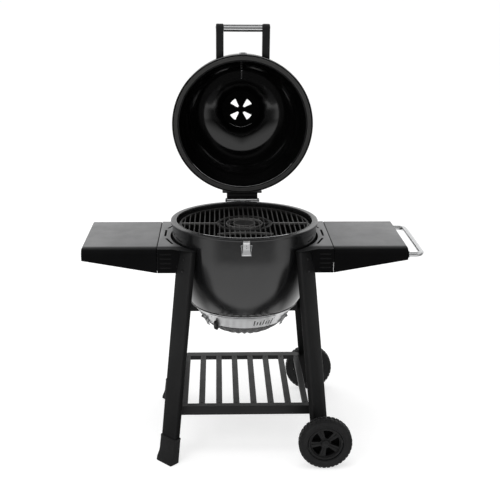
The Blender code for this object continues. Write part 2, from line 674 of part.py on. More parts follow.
def cooking_grate():
    outer = lathe([(GRATE_INNER_R, GRATE_BOTTOM), (GRATE_R - 0.005, GRATE_BOTTOM),
                   (GRATE_R, GRATE_BOTTOM + 0.0003), (GRATE_R, GRATE_TOP),
                   (GRATE_INNER_R, GRATE_TOP)], 40)
    parts = [ring(OPENING_R, OPENING_OUTER_R, GRATE_BOTTOM + 0.0006, GRATE_TOP - 0.0004, 32)]
    for i in range(-12, 13):
        x = i * BAR_PITCH
        reach = sqrt(BAR_END_R ** 2 - x * x)
        spans = [(-reach, reach)]
        if abs(x) < 0.1040:
            start = sqrt(BAR_START_R ** 2 - x * x)
            spans = [(start, reach), (-reach, -start)]
        for span in spans:
            parts.append(box(x - BAR_HALF, x + BAR_HALF, *span,
                             GRATE_BOTTOM + 0.0011, GRATE_TOP - 0.0008))
    for span in ((BAR_START_R, 0.2450), (-0.2450, -BAR_START_R)):
        parts.append(box(*span, -BAR_HALF, BAR_HALF, GRATE_BOTTOM + 0.0016, GRATE_TOP - 0.0012))
    return boolean(outer, joined(*parts), "UNION")


def center_grate():
    outer = ring(0.0960, INSERT_R, GRATE_BOTTOM + 0.0006, GRATE_TOP, 32)
    parts = [ring(0, 0.0360, GRATE_BOTTOM + 0.0012, GRATE_TOP - 0.0005, 24)]
    for i in range(-4, 5):
        x = i * BAR_PITCH
        reach = sqrt(0.0985 ** 2 - x * x)
        parts.append(box(x - BAR_HALF, x + BAR_HALF, -reach, reach,
                         GRATE_BOTTOM + 0.0018, GRATE_TOP - 0.0010))
    parts.append(box(-0.0980, 0.0980, -0.0035, 0.0035, GRATE_BOTTOM + 0.0024, GRATE_TOP - 0.0014))
    return boolean(outer, joined(*parts), "UNION")


add_piece("cooking_grate", cooking_grate(), iron, smooth=25)
add_piece("center_grate", center_grate(), iron, smooth=25)

# ------------------------------------------------------------ draw latch on the bowl front
LATCH_PIVOT = (0.0, -0.2852, 0.8230)
BAIL_PIVOT = (0.0, -0.2888, 0.8480)

latch_base = union(box(-0.0165, 0.0165, -0.2815, -0.2793, 0.8196, 0.8610),
                   *box_pair(0.0153, 0.0168, -0.2880, -0.2810, 0.8190, 0.8285))
add_piece("latch_base", latch_base, chrome, smooth=25)
latch_lever = union(box(-0.0142, 0.0142, -0.2866, -0.2846, 0.8236, 0.8590),
                    cylinder(LATCH_PIVOT, X_AXIS, 0.0021, 0.0149, 10),
                    *box_pair(0.0122, 0.0142, -0.2885, -0.2850, 0.8420, 0.8540))
add_piece("latch_lever", latch_lever, chrome, origin=LATCH_PIVOT, smooth=25)
latch_bail = union(cylinder(BAIL_PIVOT, X_AXIS, 0.0013, 0.0120, 8),
                   *box_pair(0.0088, 0.0118, -0.2897, -0.2879, 0.8484, 0.8770),
                   box(-0.0116, 0.0116, -0.2899, -0.2875, 0.8725, 0.8775))
add_piece("latch_bail", latch_bail, chrome, origin=BAIL_PIVOT, smooth=25)

# ------------------------------------------------------------ hinge on the bowl
HINGE_PIN_R, HINGE_BORE_R = 0.0045, 0.0048
HINGE_EAR_X, HINGE_EAR_HALF = 0.0668, 0.0018
# outline of an ear: (y, z)
HINGE_EAR = [
    (0.2800, 0.8420), (0.2800, 0.8640), (0.2880, 0.8690), (0.3080, 0.8850), (0.3150, 0.8870),
    (0.3220, 0.8870), (0.3265, 0.8830), (0.3265, 0.8740), (0.3220, 0.8700), (0.3050, 0.8600),
    (0.2940, 0.8420)]

hinge_ears = [prism(HINGE_EAR, 0, side * HINGE_EAR_X - HINGE_EAR_HALF,
                    side * HINGE_EAR_X + HINGE_EAR_HALF) for side in (-1, 1)]
hinge_strap = box(-0.0710, 0.0710, 0.2796, 0.2835, 0.8300, 0.8640)
hinge_lower = cut(union(hinge_strap, *hinge_ears), cylinder(HINGE, X_AXIS, HINGE_BORE_R, 0.2, 14))
add_piece("hinge_lower", hinge_lower, leg_black, smooth=25)
add_piece("hinge_pin", cylinder(HINGE, X_AXIS, HINGE_PIN_R, HINGE_HALF + 0.002, 16), chrome)

# ------------------------------------------------------------ lid pivot
lid = bpy.data.objects.new("lid_hinge_axis", None)
SCENE.objects.link(lid)
lid.location = HINGE
lid.rotation_euler = (radians(-LID_OPEN), 0, 0)


def lid_piece(name, mesh, mat, origin=HINGE, smooth=35):
    return add_piece(name, mesh, mat, origin=origin, parent=lid, smooth=smooth)


# ------------------------------------------------------------ lid shell, liner, rim and gasket
GAUGE = Vector((0, -0.2053, 1.1375))
GAUGE_NORMAL = Vector((0, -0.731, 0.682)).normalized()
LID_SHELL = [
    # outer face, upward
    (0.2832, LID_SKIN_Z), (0.2824, 0.9400), (0.2746, 1.0000), (0.2569, 1.0600), (0.2266, 1.1150),
    (0.1841, 1.1600), (0.1335, 1.1890), (0.0795, 1.2040),
    # inner face, downward
    (0.0795, 1.2021), (0.1327, 1.1872), (0.1826, 1.1586), (0.2251, 1.1136), (0.2551, 1.0594),
    (0.2728, 0.9996), (0.2806, 0.9400), (0.2814, LID_SKIN_Z)]
LID_LINER = [
    # inner face, upward
    (0.2640, LID_SKIN_Z), (0.2625, 0.9400), (0.2535, 1.0000), (0.2350, 1.0550), (0.2050, 1.1050),
    (0.1650, 1.1460), (0.1200, 1.1740), (0.0795, 1.1880),
    # outer face, downward
    (0.0795, 1.1900), (0.1208, 1.1758), (0.1664, 1.1475), (0.2067, 1.1062), (0.2369, 1.0558),
    (0.2555, 1.0003), (0.2645, 0.9402), (0.2660, LID_SKIN_Z)]
LID_RIM = [
    (0.2625, LID_RIM_Z), (0.2876, LID_RIM_Z), (LID_RIM_R, 0.8873), (LID_RIM_R, 0.8926),
    (0.2876, 0.8938), (0.2625, 0.8938)]


def gauge_bore():
    return cylinder(GAUGE, GAUGE_NORMAL, 0.0058, 0.08, 12)


lid_piece("lid_shell", cut(lathe(LID_SHELL, 48), gauge_bore()), body_black)
lid_piece("lid_liner", cut(lathe(LID_LINER, 36), gauge_bore()), enamel)
lid_piece("lid_rim", lathe(LID_RIM, 48), rim_grey)
lid_piece("lid_gasket", ring(0.2670, 0.2760, 0.8829, 0.8858, 40), felt)

# ------------------------------------------------------------ lid handle
HANDLE_Y, HANDLE_Z, HANDLE_BAR_R = -0.3892, 0.9250, 0.0135
POST_NEAR, POST_FAR = 0.0774, 0.1078      # |x| of each post's sides
POST_HALF_Z = 0.0170
POST_RELIEF_R = 0.2838            # the posts are hollowed to stand off the lid shell
HANDLE_GAP = 0.0003               # between bar and post

for side, side_name in LEFT_RIGHT:
    post = box(*sorted((side * POST_NEAR, side * POST_FAR)), HANDLE_Y - 0.0137, -0.2450,
               HANDLE_Z - POST_HALF_Z, HANDLE_Z + POST_HALF_Z)
    post = cut(post, ring(0, POST_RELIEF_R, 0.85, 0.99, 96))
    piece = lid_piece(f"handle_post_{side_name}", post, plastic, smooth=30)
    edge = piece.modifiers.new("edge", "BEVEL")
    edge.width = 0.0040
    edge.segments = 2
    edge.limit_method = "ANGLE"
    edge.angle_limit = radians(40)
handle_bar = cylinder((0, HANDLE_Y, HANDLE_Z), X_AXIS, HANDLE_BAR_R, POST_NEAR - HANDLE_GAP, 20)
lid_piece("handle_bar", handle_bar, steel)

# ------------------------------------------------------------ thermometer on the lid
NEEDLE_REST = 135.0               # degrees anticlockwise from straight up the lid
NEEDLE_Z = 0.0152                 # needle's height along the gauge axis
# (radius, distance outward along the gauge axis)
GAUGE_STEM = [
    (0, -0.0700), (0.0030, -0.0690), (0.0030, -0.0315), (0.0085, -0.0315), (0.0085, -0.0255),
    (0.0050, -0.0255), (0.0050, 0.0000), (0, 0.0000)]
GAUGE_BODY = [
    (0, 0.0006), (0.0110, 0.0006), (0.0110, 0.0045), (0.0300, 0.0060), (0.0310, 0.0080),
    (0.0310, 0.0170), (0.0290, 0.0180), (0.0272, 0.0170), (0.0272, 0.0140), (0, 0.0140)]
NEEDLE = [(-0.0022, -0.0060), (0.0022, -0.0060), (0.0006, 0.0225), (-0.0006, 0.0225)]   # (x, y)


def on_gauge(mesh):
    """Stand a mesh laid out about Z on the gauge axis."""
    tilt = Vector((0, 0, 1)).rotation_difference(GAUGE_NORMAL).to_matrix().to_4x4()
    return moved(mesh, Matrix.Translation(GAUGE) @ tilt)


lid_piece("gauge_stem", on_gauge(lathe(GAUGE_STEM, 12)), steel)
lid_piece("gauge_body", on_gauge(lathe(GAUGE_BODY, 28)), steel)
needle = union(prism(NEEDLE, 2, 0.0145, 0.0155),
               cylinder((0, 0, NEEDLE_Z), (0, 0, 1), 0.0032, 0.0008, 12))
moved(needle, Matrix.Rotation(radians(NEEDLE_REST), 4, "Z"))
lid_piece("gauge_needle", on_gauge(needle), needle_red,
          origin=tuple(GAUGE + GAUGE_NORMAL * NEEDLE_Z))

# ------------------------------------------------------------ top vent
VENT_Z = 1.1861
VENT_TOP = 1.2090
VENT_BASE = [
    (0, VENT_Z), (0.0785, VENT_Z), (0.0785, VENT_TOP), (0.0735, VENT_TOP),
    (0.0735, VENT_Z + 0.0040), (0, VENT_Z + 0.0040)]
VENT_GRIP = [
    (0, VENT_Z + 0.0050), (0.0060, VENT_Z + 0.0050), (0.0070, VENT_Z + 0.0160),
    (0.0120, VENT_Z + 0.0190), (0.0120, VENT_Z + 0.0290), (0.0100, VENT_Z + 0.0310),
    (0, VENT_Z + 0.0310)]


def vent_openings(inner_r, outer_r):
    return [sector(45 + 90 * k, inner_r, outer_r, 18, 0.75, (-1, -0.33, 0.33, 1), 1.17, 1.22)
            for k in range(4)]


lid_piece("vent_base", cut(lathe(VENT_BASE, 36), *vent_openings(0.0120, 0.0520)), galvanised)
vent_disc = cut(ring(0, 0.0728, VENT_Z + 0.0044, VENT_Z + 0.0062, 36),
                *vent_openings(0.0125, 0.0530))
lid_piece("vent_damper", union(vent_disc, lathe(VENT_GRIP, 20)), leg_black,
          origin=(0, 0, VENT_Z + 0.005))

# ------------------------------------------------------------ latch strike on the lid front
lid_strike = union(box(-0.0150, 0.0150, -0.2913, -0.2893, 0.8802, 0.9140),
                   box(-0.0085, 0.0085, -0.2950, -0.2905, 0.8802, 0.8830),
                   box(-0.0085, 0.0085, -0.2965, -0.2947, 0.8804, 0.8870))
lid_piece("lid_strike", lid_strike, chrome, smooth=25)

# ------------------------------------------------------------ hinge on the lid
KNUCKLE_HALF = 0.0645
# outlines: (y, z)
HINGE_WEB = [(0.2915, 0.9000), (0.2915, 0.9330), (0.2975, 0.9330), (0.3260, 0.8880),
             (0.3250, 0.8790), (0.3130, 0.8800), (0.3045, 0.8960)]
HINGE_PLATE = [(0.2899, 0.8950), (0.2899, 0.9420), (0.2925, 0.9420), (0.2925, 0.8950)]

hinge_upper = union(prism(HINGE_WEB, 0, -KNUCKLE_HALF, KNUCKLE_HALF),
                    cylinder(HINGE, X_AXIS, 0.0090, KNUCKLE_HALF, 18),
                    prism(HINGE_PLATE, 0, -0.0830, 0.0830))
hinge_upper = cut(hinge_upper, cylinder(HINGE, X_AXIS, HINGE_BORE_R, 0.2, 16))
lid_piece("hinge_upper", hinge_upper, leg_black, smooth=25)

# ------------------------------------------------------------ origin to the bottom centre
for piece in bpy.context.scene.objects:
    if piece.parent is None:
        piece.location.x += BOWL_AXIS[0]
        piece.location.y += BOWL_AXIS[1]
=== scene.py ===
# Round charcoal grill on a four-legged cart: bowl, hinged lid standing open, two fold-down side
# shelves, a wire-slat rack, feet on the left (-X) legs and two wheels on the right (+X).
# Metres, +Z up, floor at Z = 0, front towards -Y. Pieces are laid out with the bowl's axis on
# X = Y = 0 and then moved to the CAD axis; the lid is laid out closed and swung open.
import bpy
import bmesh
from math import cos, sin, tan, pi, radians, sqrt
from mathutils import Matrix, Vector


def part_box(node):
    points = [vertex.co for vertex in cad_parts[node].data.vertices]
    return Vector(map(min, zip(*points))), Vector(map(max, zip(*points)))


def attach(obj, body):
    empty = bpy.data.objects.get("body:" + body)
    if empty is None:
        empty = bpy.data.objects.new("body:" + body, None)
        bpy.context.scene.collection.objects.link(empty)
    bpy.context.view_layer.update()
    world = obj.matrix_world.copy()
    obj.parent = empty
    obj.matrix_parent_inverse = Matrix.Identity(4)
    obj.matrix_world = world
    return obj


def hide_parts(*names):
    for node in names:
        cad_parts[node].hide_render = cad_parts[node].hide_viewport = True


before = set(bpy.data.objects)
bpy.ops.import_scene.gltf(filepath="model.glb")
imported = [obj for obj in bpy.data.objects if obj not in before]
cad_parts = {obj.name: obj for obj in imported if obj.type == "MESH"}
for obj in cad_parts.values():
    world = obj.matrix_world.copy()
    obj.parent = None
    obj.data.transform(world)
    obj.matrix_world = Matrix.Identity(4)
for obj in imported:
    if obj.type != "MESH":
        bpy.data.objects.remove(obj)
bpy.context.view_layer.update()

scene = bpy.context.scene

rim_low, rim_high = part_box("bowl_rim")
AXIS_X = (rim_low.x + rim_high.x) / 2
AXIS_Y = (rim_low.y + rim_high.y) / 2
LAYOUT = Matrix.Translation((AXIS_X, AXIS_Y, 0))
HINGE = Vector((0, 0.3185, 0.8785))
LID_SWING = Matrix.Rotation(-radians(86.0), 4, "X")
LID = LAYOUT @ Matrix.Translation(HINGE) @ LID_SWING @ Matrix.Translation(-HINGE)

RIGHT, BACK, FORWARD, UP = (1, 0, 0), (0, 1, 0), (0, -1, 0), (0, 0, 1)
SIDES = ((-1, "left"), (1, "right"))    # sign of X
ENDS = ((-1, "front"), (1, "rear"))     # sign of Y

VENT_Z = 1.1861                         # underside of the lid vent, lid closed
GAUGE = Vector((0, -0.2053, 1.1375))    # centre of the gauge on the lid, lid closed
GAUGE_OUT = Vector((0, -0.731, 0.682)).normalized()


# ===================================================================== shader graphs
class Graph:
    """Short ways to add nodes to a node tree; most methods return an output socket."""

    def __init__(self, tree):
        self.tree = tree

    def node(self, kind, inputs=(), **settings):
        """A node with settings; inputs maps socket names or numbers to values or sockets."""
        made = self.tree.nodes.new(kind)
        for key, value in settings.items():
            setattr(made, key, value)
        for key, value in dict(inputs).items():
            self.put(made.inputs[key], value)
        return made

    def put(self, socket, value):
        if isinstance(value, bpy.types.NodeSocket):
            self.tree.links.new(value, socket)
        elif socket.type == "RGBA":
            socket.default_value = (*value, 1.0)
        else:
            socket.default_value = value

    def math(self, operation, first, second=0.0):
        return self.node("ShaderNodeMath", {0: first, 1: second}, operation=operation).outputs[0]

    def plus(self, first, second):
        return self.math("ADD", first, second)

    def minus(self, first, second):
        return self.math("SUBTRACT", first, second)

    def times(self, first, second):
        return self.math("MULTIPLY", first, second)

    def vector(self, operation, *values):
        return self.node("ShaderNodeVectorMath", dict(enumerate(values)), operation=operation)

    def split(self, vector):
        """The X, Y and Z outputs of a vector."""
        return self.node("ShaderNodeSeparateXYZ", {0: vector}).outputs

    def remap(self, value, span=(0.3, 0.7), to=(0.0, 1.0), smooth=True):
        """Carry the span onto the range `to`, held at both ends."""
        inputs = {"Value": value, "From Min": span[0], "From Max": span[1],
                  "To Min": to[0], "To Max": to[1]}
        kind = "SMOOTHSTEP" if smooth else "LINEAR"
        return self.node("ShaderNodeMapRange", inputs, clamp=True,
                         interpolation_type=kind).outputs[0]


class Finish(Graph):
    """A principled material built up step by step."""

    def __init__(self, name):
        self.material = bpy.data.materials.new(name)
        self.material.use_nodes = True
        super().__init__(self.material.node_tree)
        self.tree.nodes.clear()
        output = self.node("ShaderNodeOutputMaterial")
        self.shader = self.node("ShaderNodeBsdfPrincipled")
        self.put(output.inputs["Surface"], self.shader.outputs["BSDF"])
        self.place = self.node("ShaderNodeTexCoord").outputs["Object"]
        self.normal = None

    def set(self, name, value):
        self.put(self.shader.inputs[name], value)

    def stretch(self, scale, turn=(0, 0, 0)):
        inputs = {"Vector": self.place, "Scale": scale, "Rotation": turn}
        return self.node("ShaderNodeMapping", inputs).outputs[0]

    def noise(self, scale, detail=3.0, rough=0.55, place=None):
        inputs = {"Vector": place or self.place, "Scale": scale,
                  "Detail": detail, "Roughness": rough}
        return self.node("ShaderNodeTexNoise", inputs).outputs[0]

    def mottle(self, scale, detail=3.0, rough=0.55, place=None, span=(0.3, 0.7), to=(0.0, 1.0)):
        """Noise carried onto a range."""
        return self.remap(self.noise(scale, detail, rough, place), span, to)

    def cells(self, scale, output="Distance"):
        inputs = {"Vector": self.place, "Scale": scale}
        return self.node("ShaderNodeTexVoronoi", inputs, feature="F1").outputs[output]

    def mix(self, mask, first, second):
        inputs = {0: mask, 6: first, 7: second}
        return self.node("ShaderNodeMix", inputs, data_type="RGBA").outputs[2]

    def tint(self, mask, rgb, dark, light):
        """A colour that drifts between two strengths of itself."""
        return self.mix(mask, scaled(rgb, dark), scaled(rgb, light))

    def bump(self, height, strength, distance):
        """Lay a relief over those already there."""
        inputs = {"Strength": strength, "Distance": distance, "Height": height}
        if self.normal is not None:
            inputs["Normal"] = self.normal
        self.normal = self.node("ShaderNodeBump", inputs).outputs[0]

    def noise_bump(self, scale, strength, distance, detail=3.0, rough=0.55):
        self.bump(self.noise(scale, detail, rough), strength, distance)

    def edge_wear(self, radius, scale, detail, span, to):
        """Patchy mask along convex and concave edges, nothing on flats."""
        bevel = self.node("ShaderNodeBevel", {"Radius": radius}, samples=4)
        face = self.node("ShaderNodeNewGeometry").outputs["Normal"]
        dot = self.vector("DOT_PRODUCT", bevel.outputs[0], face).outputs["Value"]
        edges = self.remap(self.minus(1.0, dot), span=(0.03, 0.30))
        return self.times(edges, self.mottle(scale, detail, rough=0.7, span=span, to=to))

    def openness(self, reach):
        """1 out in the room, falling where other parts crowd round the spot; the mask for painted
        shade.
        """
        occlusion = self.node("ShaderNodeAmbientOcclusion", {"Distance": reach}, samples=4)
        return self.remap(occlusion.outputs["AO"], span=(0.55, 0.96), to=(0.22, 1.0))

    def done(self):
        if self.normal is not None:
            self.set("Normal", self.normal)
        return self.material


def scaled(rgb, factor):
    return tuple(min(1.0, channel * factor) for channel in rgb)


# ===================================================================== materials
def paint(name, rgb, rough, peel, wear, spec, dust, grain=0.0, painted_shade_reach=0.0):
    """Sprayed or powder-coated steel: tone drift, orange peel, handling marks, rubbed edges."""
    mat = Finish(name)
    base = mat.tint(mat.mottle(scale=7.0, detail=4.0), rgb, dark=0.86, light=1.16)
    fleck = mat.mottle(scale=900.0, detail=2.0, span=(0.62, 0.80), to=(0.0, 0.35))
    base = mat.mix(fleck, base, scaled(rgb, 1.9))
    # thin settled dust on faces that look up
    facing = mat.split(mat.node("ShaderNodeNewGeometry").outputs["Normal"])["Z"]
    film = mat.times(mat.remap(facing, span=(0.3, 1.0)),
                     mat.mottle(scale=38.0, detail=6.0, rough=0.65, span=(0.35, 0.75),
                                to=(0.0, dust)))
    base = mat.mix(film, base, scaled(rgb, 1.6))
    worn = mat.edge_wear(radius=0.0012, scale=60.0, detail=5.0, span=(0.42, 0.72), to=(0.0, wear))
    base = mat.mix(worn, base, (0.20, 0.20, 0.205))
    if painted_shade_reach:                      # painted shade: colour darkened and specular cut where other parts crowd round the spot
        clear = mat.openness(painted_shade_reach)
        base = mat.mix(clear, scaled(rgb, 0.30), base)
        spec = mat.times(clear, spec)
    mat.set("Specular IOR Level", spec)
    mat.set("Base Color", base)
    smear = mat.mottle(scale=14.0, detail=5.0, rough=0.6, place=mat.stretch((1.0, 1.0, 0.45)),
                       span=(0.3, 0.75), to=(-0.035, 0.05))
    gloss = mat.plus(mat.plus(rough, smear), mat.times(worn, -0.10))
    mat.set("Roughness", mat.math("MAXIMUM", gloss, 0.06))
    mat.noise_bump(scale=260.0, detail=2.0, rough=0.45, strength=0.10 * peel, distance=0.0006)
    mat.noise_bump(scale=42.0, detail=2.0, rough=0.4, strength=0.05 * peel, distance=0.002)
    if grain:
        mat.noise_bump(scale=1500.0, rough=0.6, strength=grain, distance=0.00035)
    return mat.done()


def enamel(name, rgb, rough, spec, smoke=None):
    """Vitreous enamel: glassy, faint waves, pin specks, light haze.

    smoke is (point, axis, inner radius, outer radius) of a dull soot patch."""
    mat = Finish(name)
    speck = mat.remap(mat.cells(scale=520.0), span=(0.0, 0.16), to=(0.5, 0.0))
    haze = mat.mottle(scale=9.0, detail=6.0, rough=0.62, span=(0.45, 0.80))
    base = mat.tint(haze, rgb, dark=1.0, light=1.7)
    base = mat.mix(mat.times(speck, 0.22), base, (0.03, 0.03, 0.031))
    glaze = mat.plus(rough, mat.times(haze, 0.05))
    coat = 0.35
    if smoke:
        point, axis, inner, outer = smoke
        offset = mat.vector("SUBTRACT", mat.place, point).outputs[0]
        across = mat.vector("CROSS_PRODUCT", offset, axis).outputs[0]
        distance = mat.vector("LENGTH", across).outputs["Value"]
        ragged = mat.plus(distance, mat.mottle(scale=30.0, detail=4.0, to=(-0.004, 0.004)))
        clean = mat.remap(ragged, span=(inner, outer))
        base = mat.mix(clean, scaled(rgb, 0.8), base)
        glaze = mat.plus(glaze, mat.remap(clean, span=(0.0, 1.0), to=(0.45, 0.0)))
        spec = mat.times(clean, spec)
        coat = mat.times(clean, coat)
    mat.set("Specular IOR Level", spec)
    mat.set("Coat Weight", coat)
    mat.set("Base Color", base)
    mat.set("Roughness", glaze)
    mat.set("Coat Roughness", 0.06)
    mat.noise_bump(scale=55.0, detail=2.0, rough=0.4, strength=0.06, distance=0.0018)
    mat.noise_bump(scale=420.0, detail=2.0, rough=0.4, strength=0.04, distance=0.0004)
    return mat.done()


def plastic(name, rgb, rough, grain=0.35, wear=0.35, spec=0.35):
    """Moulded polymer with a spark-eroded grain and scuffed corners."""
    mat = Finish(name)
    base = mat.tint(mat.mottle(scale=16.0, detail=4.0), rgb, dark=0.85, light=1.2)
    worn = mat.edge_wear(radius=0.0016, scale=80.0, detail=4.0, span=(0.40, 0.70), to=(0.0, wear))
    mat.set("Base Color", mat.mix(worn, base, scaled(rgb, 3.5)))
    mat.set("Specular IOR Level", spec)
    mat.set("Roughness", mat.mottle(scale=35.0, detail=4.0, to=(rough - 0.05, rough + 0.07)))
    mat.bump(mat.cells(scale=1100.0), strength=grain, distance=0.0003)
    mat.noise_bump(scale=300.0, strength=grain * 0.4, distance=0.0004)
    return mat.done()


def iron(name, rgb, rough, rub, bare=(0.16, 0.158, 0.155), spec=0.5):
    """Sand-cast iron, oiled: pitted skin, brown tint, edges rubbed towards bare metal."""
    mat = Finish(name)
    patches = mat.mottle(scale=30.0, detail=5.0, rough=0.65, span=(0.35, 0.7))
    base = mat.tint(patches, rgb, dark=0.75, light=1.35)
    brown = mat.mottle(scale=75.0, detail=4.0, span=(0.60, 0.78), to=(0.0, 0.35))
    base = mat.mix(brown, base, (0.060, 0.038, 0.026))
    worn = mat.edge_wear(radius=0.0014, scale=120.0, detail=4.0, span=(0.35, 0.65),
                         to=(0.2 * rub, rub))
    mat.set("Base Color", mat.mix(worn, base, bare))
    mat.set("Specular IOR Level", spec)
    mat.set("Metallic", mat.remap(worn, span=(0.0, 0.6), to=(0.10, 0.55)))
    mat.set("Roughness", mat.mottle(scale=55.0, detail=5.0, to=(rough - 0.08, rough + 0.10)))
    mat.noise_bump(scale=650.0, detail=5.0, rough=0.7, strength=0.45, distance=0.0005)
    mat.bump(mat.cells(scale=260.0), strength=0.20, distance=0.0006)
    return mat.done()


def brushed(name, rgb, rough, axis):
    """Brushed stainless: long fine scratches running along the axis, and faint haze."""
    mat = Finish(name)
    scale = tuple(6.0 if letter == axis else 1400.0 for letter in "XYZ")
    hair = mat.noise(scale=1.0, rough=0.6, place=mat.stretch(scale))
    haze = mat.mottle(scale=24.0, detail=5.0, rough=0.6, span=(0.40, 0.75))
    base = mat.tint(mat.remap(hair), rgb, dark=0.86, light=1.08)
    mat.set("Base Color", mat.mix(mat.times(haze, 0.25), base, scaled(rgb, 0.78)))
    mat.set("Metallic", 1.0)
    scratch = mat.remap(hair, span=(0.25, 0.75), to=(rough - 0.04, rough + 0.08))
    mat.set("Roughness", mat.plus(scratch, mat.times(haze, 0.06)))
    mat.set("Anisotropic", 0.5)
    mat.bump(hair, strength=0.10, distance=0.0002)
    return mat.done()


def plated(name, rgb, rough, metallic=1.0):
    """Bright plating: near-mirror, with soft wave and a little grime in corners."""
    mat = Finish(name)
    grime = mat.edge_wear(radius=0.0016, scale=90.0, detail=5.0, span=(0.45, 0.72),
                          to=(0.0, 0.55))
    base = mat.tint(mat.mottle(scale=40.0, detail=4.0), rgb, dark=0.93, light=1.0)
    mat.set("Base Color", mat.mix(grime, base, scaled(rgb, 0.45)))
    mat.set("Metallic", metallic)
    haze = mat.mottle(scale=50.0, detail=5.0, span=(0.35, 0.75), to=(rough, rough + 0.07))
    mat.set("Roughness", mat.plus(haze, mat.times(grime, 0.25)))
    mat.noise_bump(scale=120.0, detail=2.0, strength=0.025, distance=0.0008)
    mat.noise_bump(scale=1300.0, detail=2.0, strength=0.025, distance=0.0002)
    return mat.done()


def zinc(name, rgb, rough, spangle, flutes=0):
    """Galvanised sheet: crystal spangle, each grain with its own sheen, and smears."""
    mat = Finish(name)
    grain = mat.cells(scale=140.0, output="Color")
    tone = mat.node("ShaderNodeSeparateColor", {0: grain}).outputs[0]
    base = mat.tint(mat.times(tone, 0.55 * spangle), rgb, dark=0.92, light=1.10)
    stain = mat.mottle(scale=20.0, detail=5.0, rough=0.65, span=(0.54, 0.80), to=(0.0, 0.32))
    base = mat.mix(stain, base, scaled(rgb, 0.66))
    if flutes:                          # painted shade: colour darkened towards the troughs of the flutes
        spot = mat.split(mat.place)
        turn = mat.math("ARCTAN2", mat.minus(spot["Y"], AXIS_Y), mat.minus(spot["X"], AXIS_X))
        wave = mat.math("COSINE", mat.times(turn, float(flutes)))
        base = mat.mix(mat.remap(wave, span=(-0.35, 0.55)), scaled(rgb, 0.22), base)
    mat.set("Base Color", base)
    mat.set("Metallic", 0.92)
    sheen = mat.remap(tone, span=(0.0, 1.0),
                      to=(rough - 0.03 * spangle, rough + 0.04 * spangle))
    mat.set("Roughness", mat.plus(sheen, mat.times(stain, 0.15)))
    mat.bump(tone, strength=0.010 * spangle, distance=0.0003)
    mat.noise_bump(scale=500.0, strength=0.012, distance=0.0002)
    return mat.done()


def felted(name, rgb):
    """Pressed fibre cord with loose fuzz and a woven rib."""
    mat = Finish(name)
    fibre = mat.noise(scale=1.0, detail=4.0, rough=0.7,
                      place=mat.stretch((900.0, 900.0, 2600.0)))
    mat.set("Base Color", mat.tint(mat.remap(fibre), rgb, dark=0.6, light=1.7))
    mat.set("Roughness", 0.95)
    mat.set("Sheen Weight", 0.4)
    mat.bump(fibre, strength=0.6, distance=0.0006)
    mat.bump(mat.cells(scale=700.0), strength=0.4, distance=0.0005)
    return mat.done()


def lit_top_sheet(name, top, skirt):
    """Sheet painted lighter where it faces up and near black on its skirts, scoured on top: the
    lighter top is a painted reflection of the bright backdrop, the skirts painted shade.

    top and skirt are (colour, roughness, specular level); the two colours are the lit and the
    shaded copies of one paint."""
    lit_top_rgb, top_rough, top_spec = top
    shaded_skirt_rgb, skirt_rough, skirt_spec = skirt
    mat = Finish(name)
    # the lit-top mask uses the mesh's own normal, so the painted light follows the piece
    own_normal = mat.node("ShaderNodeTexCoord").outputs["Normal"]
    mask = mat.remap(mat.split(own_normal)["Z"], span=(0.72, 0.985))
    # the front bend gets the skirts' painted shade
    bend = mat.remap(mat.split(mat.place)["Y"], span=(AXIS_Y - 0.17, AXIS_Y - 0.15),
                     to=(0.10, 1.0))
    mask = mat.times(mask, bend)
    drift = mat.mottle(scale=5.0, detail=4.0)
    lit_top_tone = mat.tint(drift, lit_top_rgb, dark=0.90, light=1.10)
    lines = mat.stretch((18.0, 900.0, 30.0), turn=(0, 0, 0.22))
    scour = mat.mottle(scale=1.0, detail=5.0, rough=0.7, place=lines, span=(0.62, 0.78),
                       to=(0.0, 0.35))
    lit_top_tone = mat.mix(scour, lit_top_tone, scaled(lit_top_rgb, 1.5))
    # painted shade on the skirts, painted light on the top
    base = mat.mix(mask, mat.tint(drift, shaded_skirt_rgb, dark=0.85, light=1.2), lit_top_tone)
    worn = mat.edge_wear(radius=0.0012, scale=70.0, detail=5.0, span=(0.40, 0.70),
                         to=(0.05, 0.45))
    mat.set("Base Color", mat.mix(worn, base, (0.24, 0.24, 0.245)))
    gloss = mat.remap(mask, span=(0.0, 1.0), to=(skirt_rough, top_rough), smooth=False)
    smear = mat.mottle(scale=11.0, detail=5.0, rough=0.6, span=(0.3, 0.75), to=(-0.04, 0.05))
    mat.set("Roughness", mat.plus(gloss, smear))
    mat.set("Specular IOR Level",
            mat.remap(mask, span=(0.0, 1.0), to=(skirt_spec, top_spec), smooth=False))
    mat.noise_bump(scale=1300.0, rough=0.6, strength=0.14, distance=0.0004)
    mat.noise_bump(scale=240.0, detail=2.0, rough=0.45, strength=0.07, distance=0.0006)
    return mat.done()


def print_ink(name, rgb, rough):
    """Even printed or lacquered colour."""
    mat = Finish(name)
    mat.set("Base Color", mat.tint(mat.mottle(scale=120.0, detail=4.0), rgb, dark=0.94, light=1.0))
    mat.set("Roughness", mat.mottle(scale=400.0, to=(rough - 0.05, rough + 0.05)))
    mat.noise_bump(scale=900.0, detail=2.0, strength=0.05, distance=0.0002)
    return mat.done()


def clear_glass(name):
    mat = Finish(name)
    mat.set("Base Color", (0.96, 0.97, 0.97))
    mat.set("Transmission Weight", 1.0)
    mat.set("IOR", 1.45)
    mat.set("Roughness", mat.mottle(scale=60.0, detail=4.0, span=(0.4, 0.8), to=(0.01, 0.06)))
    mat.noise_bump(scale=200.0, detail=2.0, strength=0.02, distance=0.0002)
    return mat.done()


VENT_SMOKE = (LID @ Vector((0, 0, VENT_Z)), (LID.to_3x3() @ Vector(UP)).normalized(),
              0.098, 0.124)

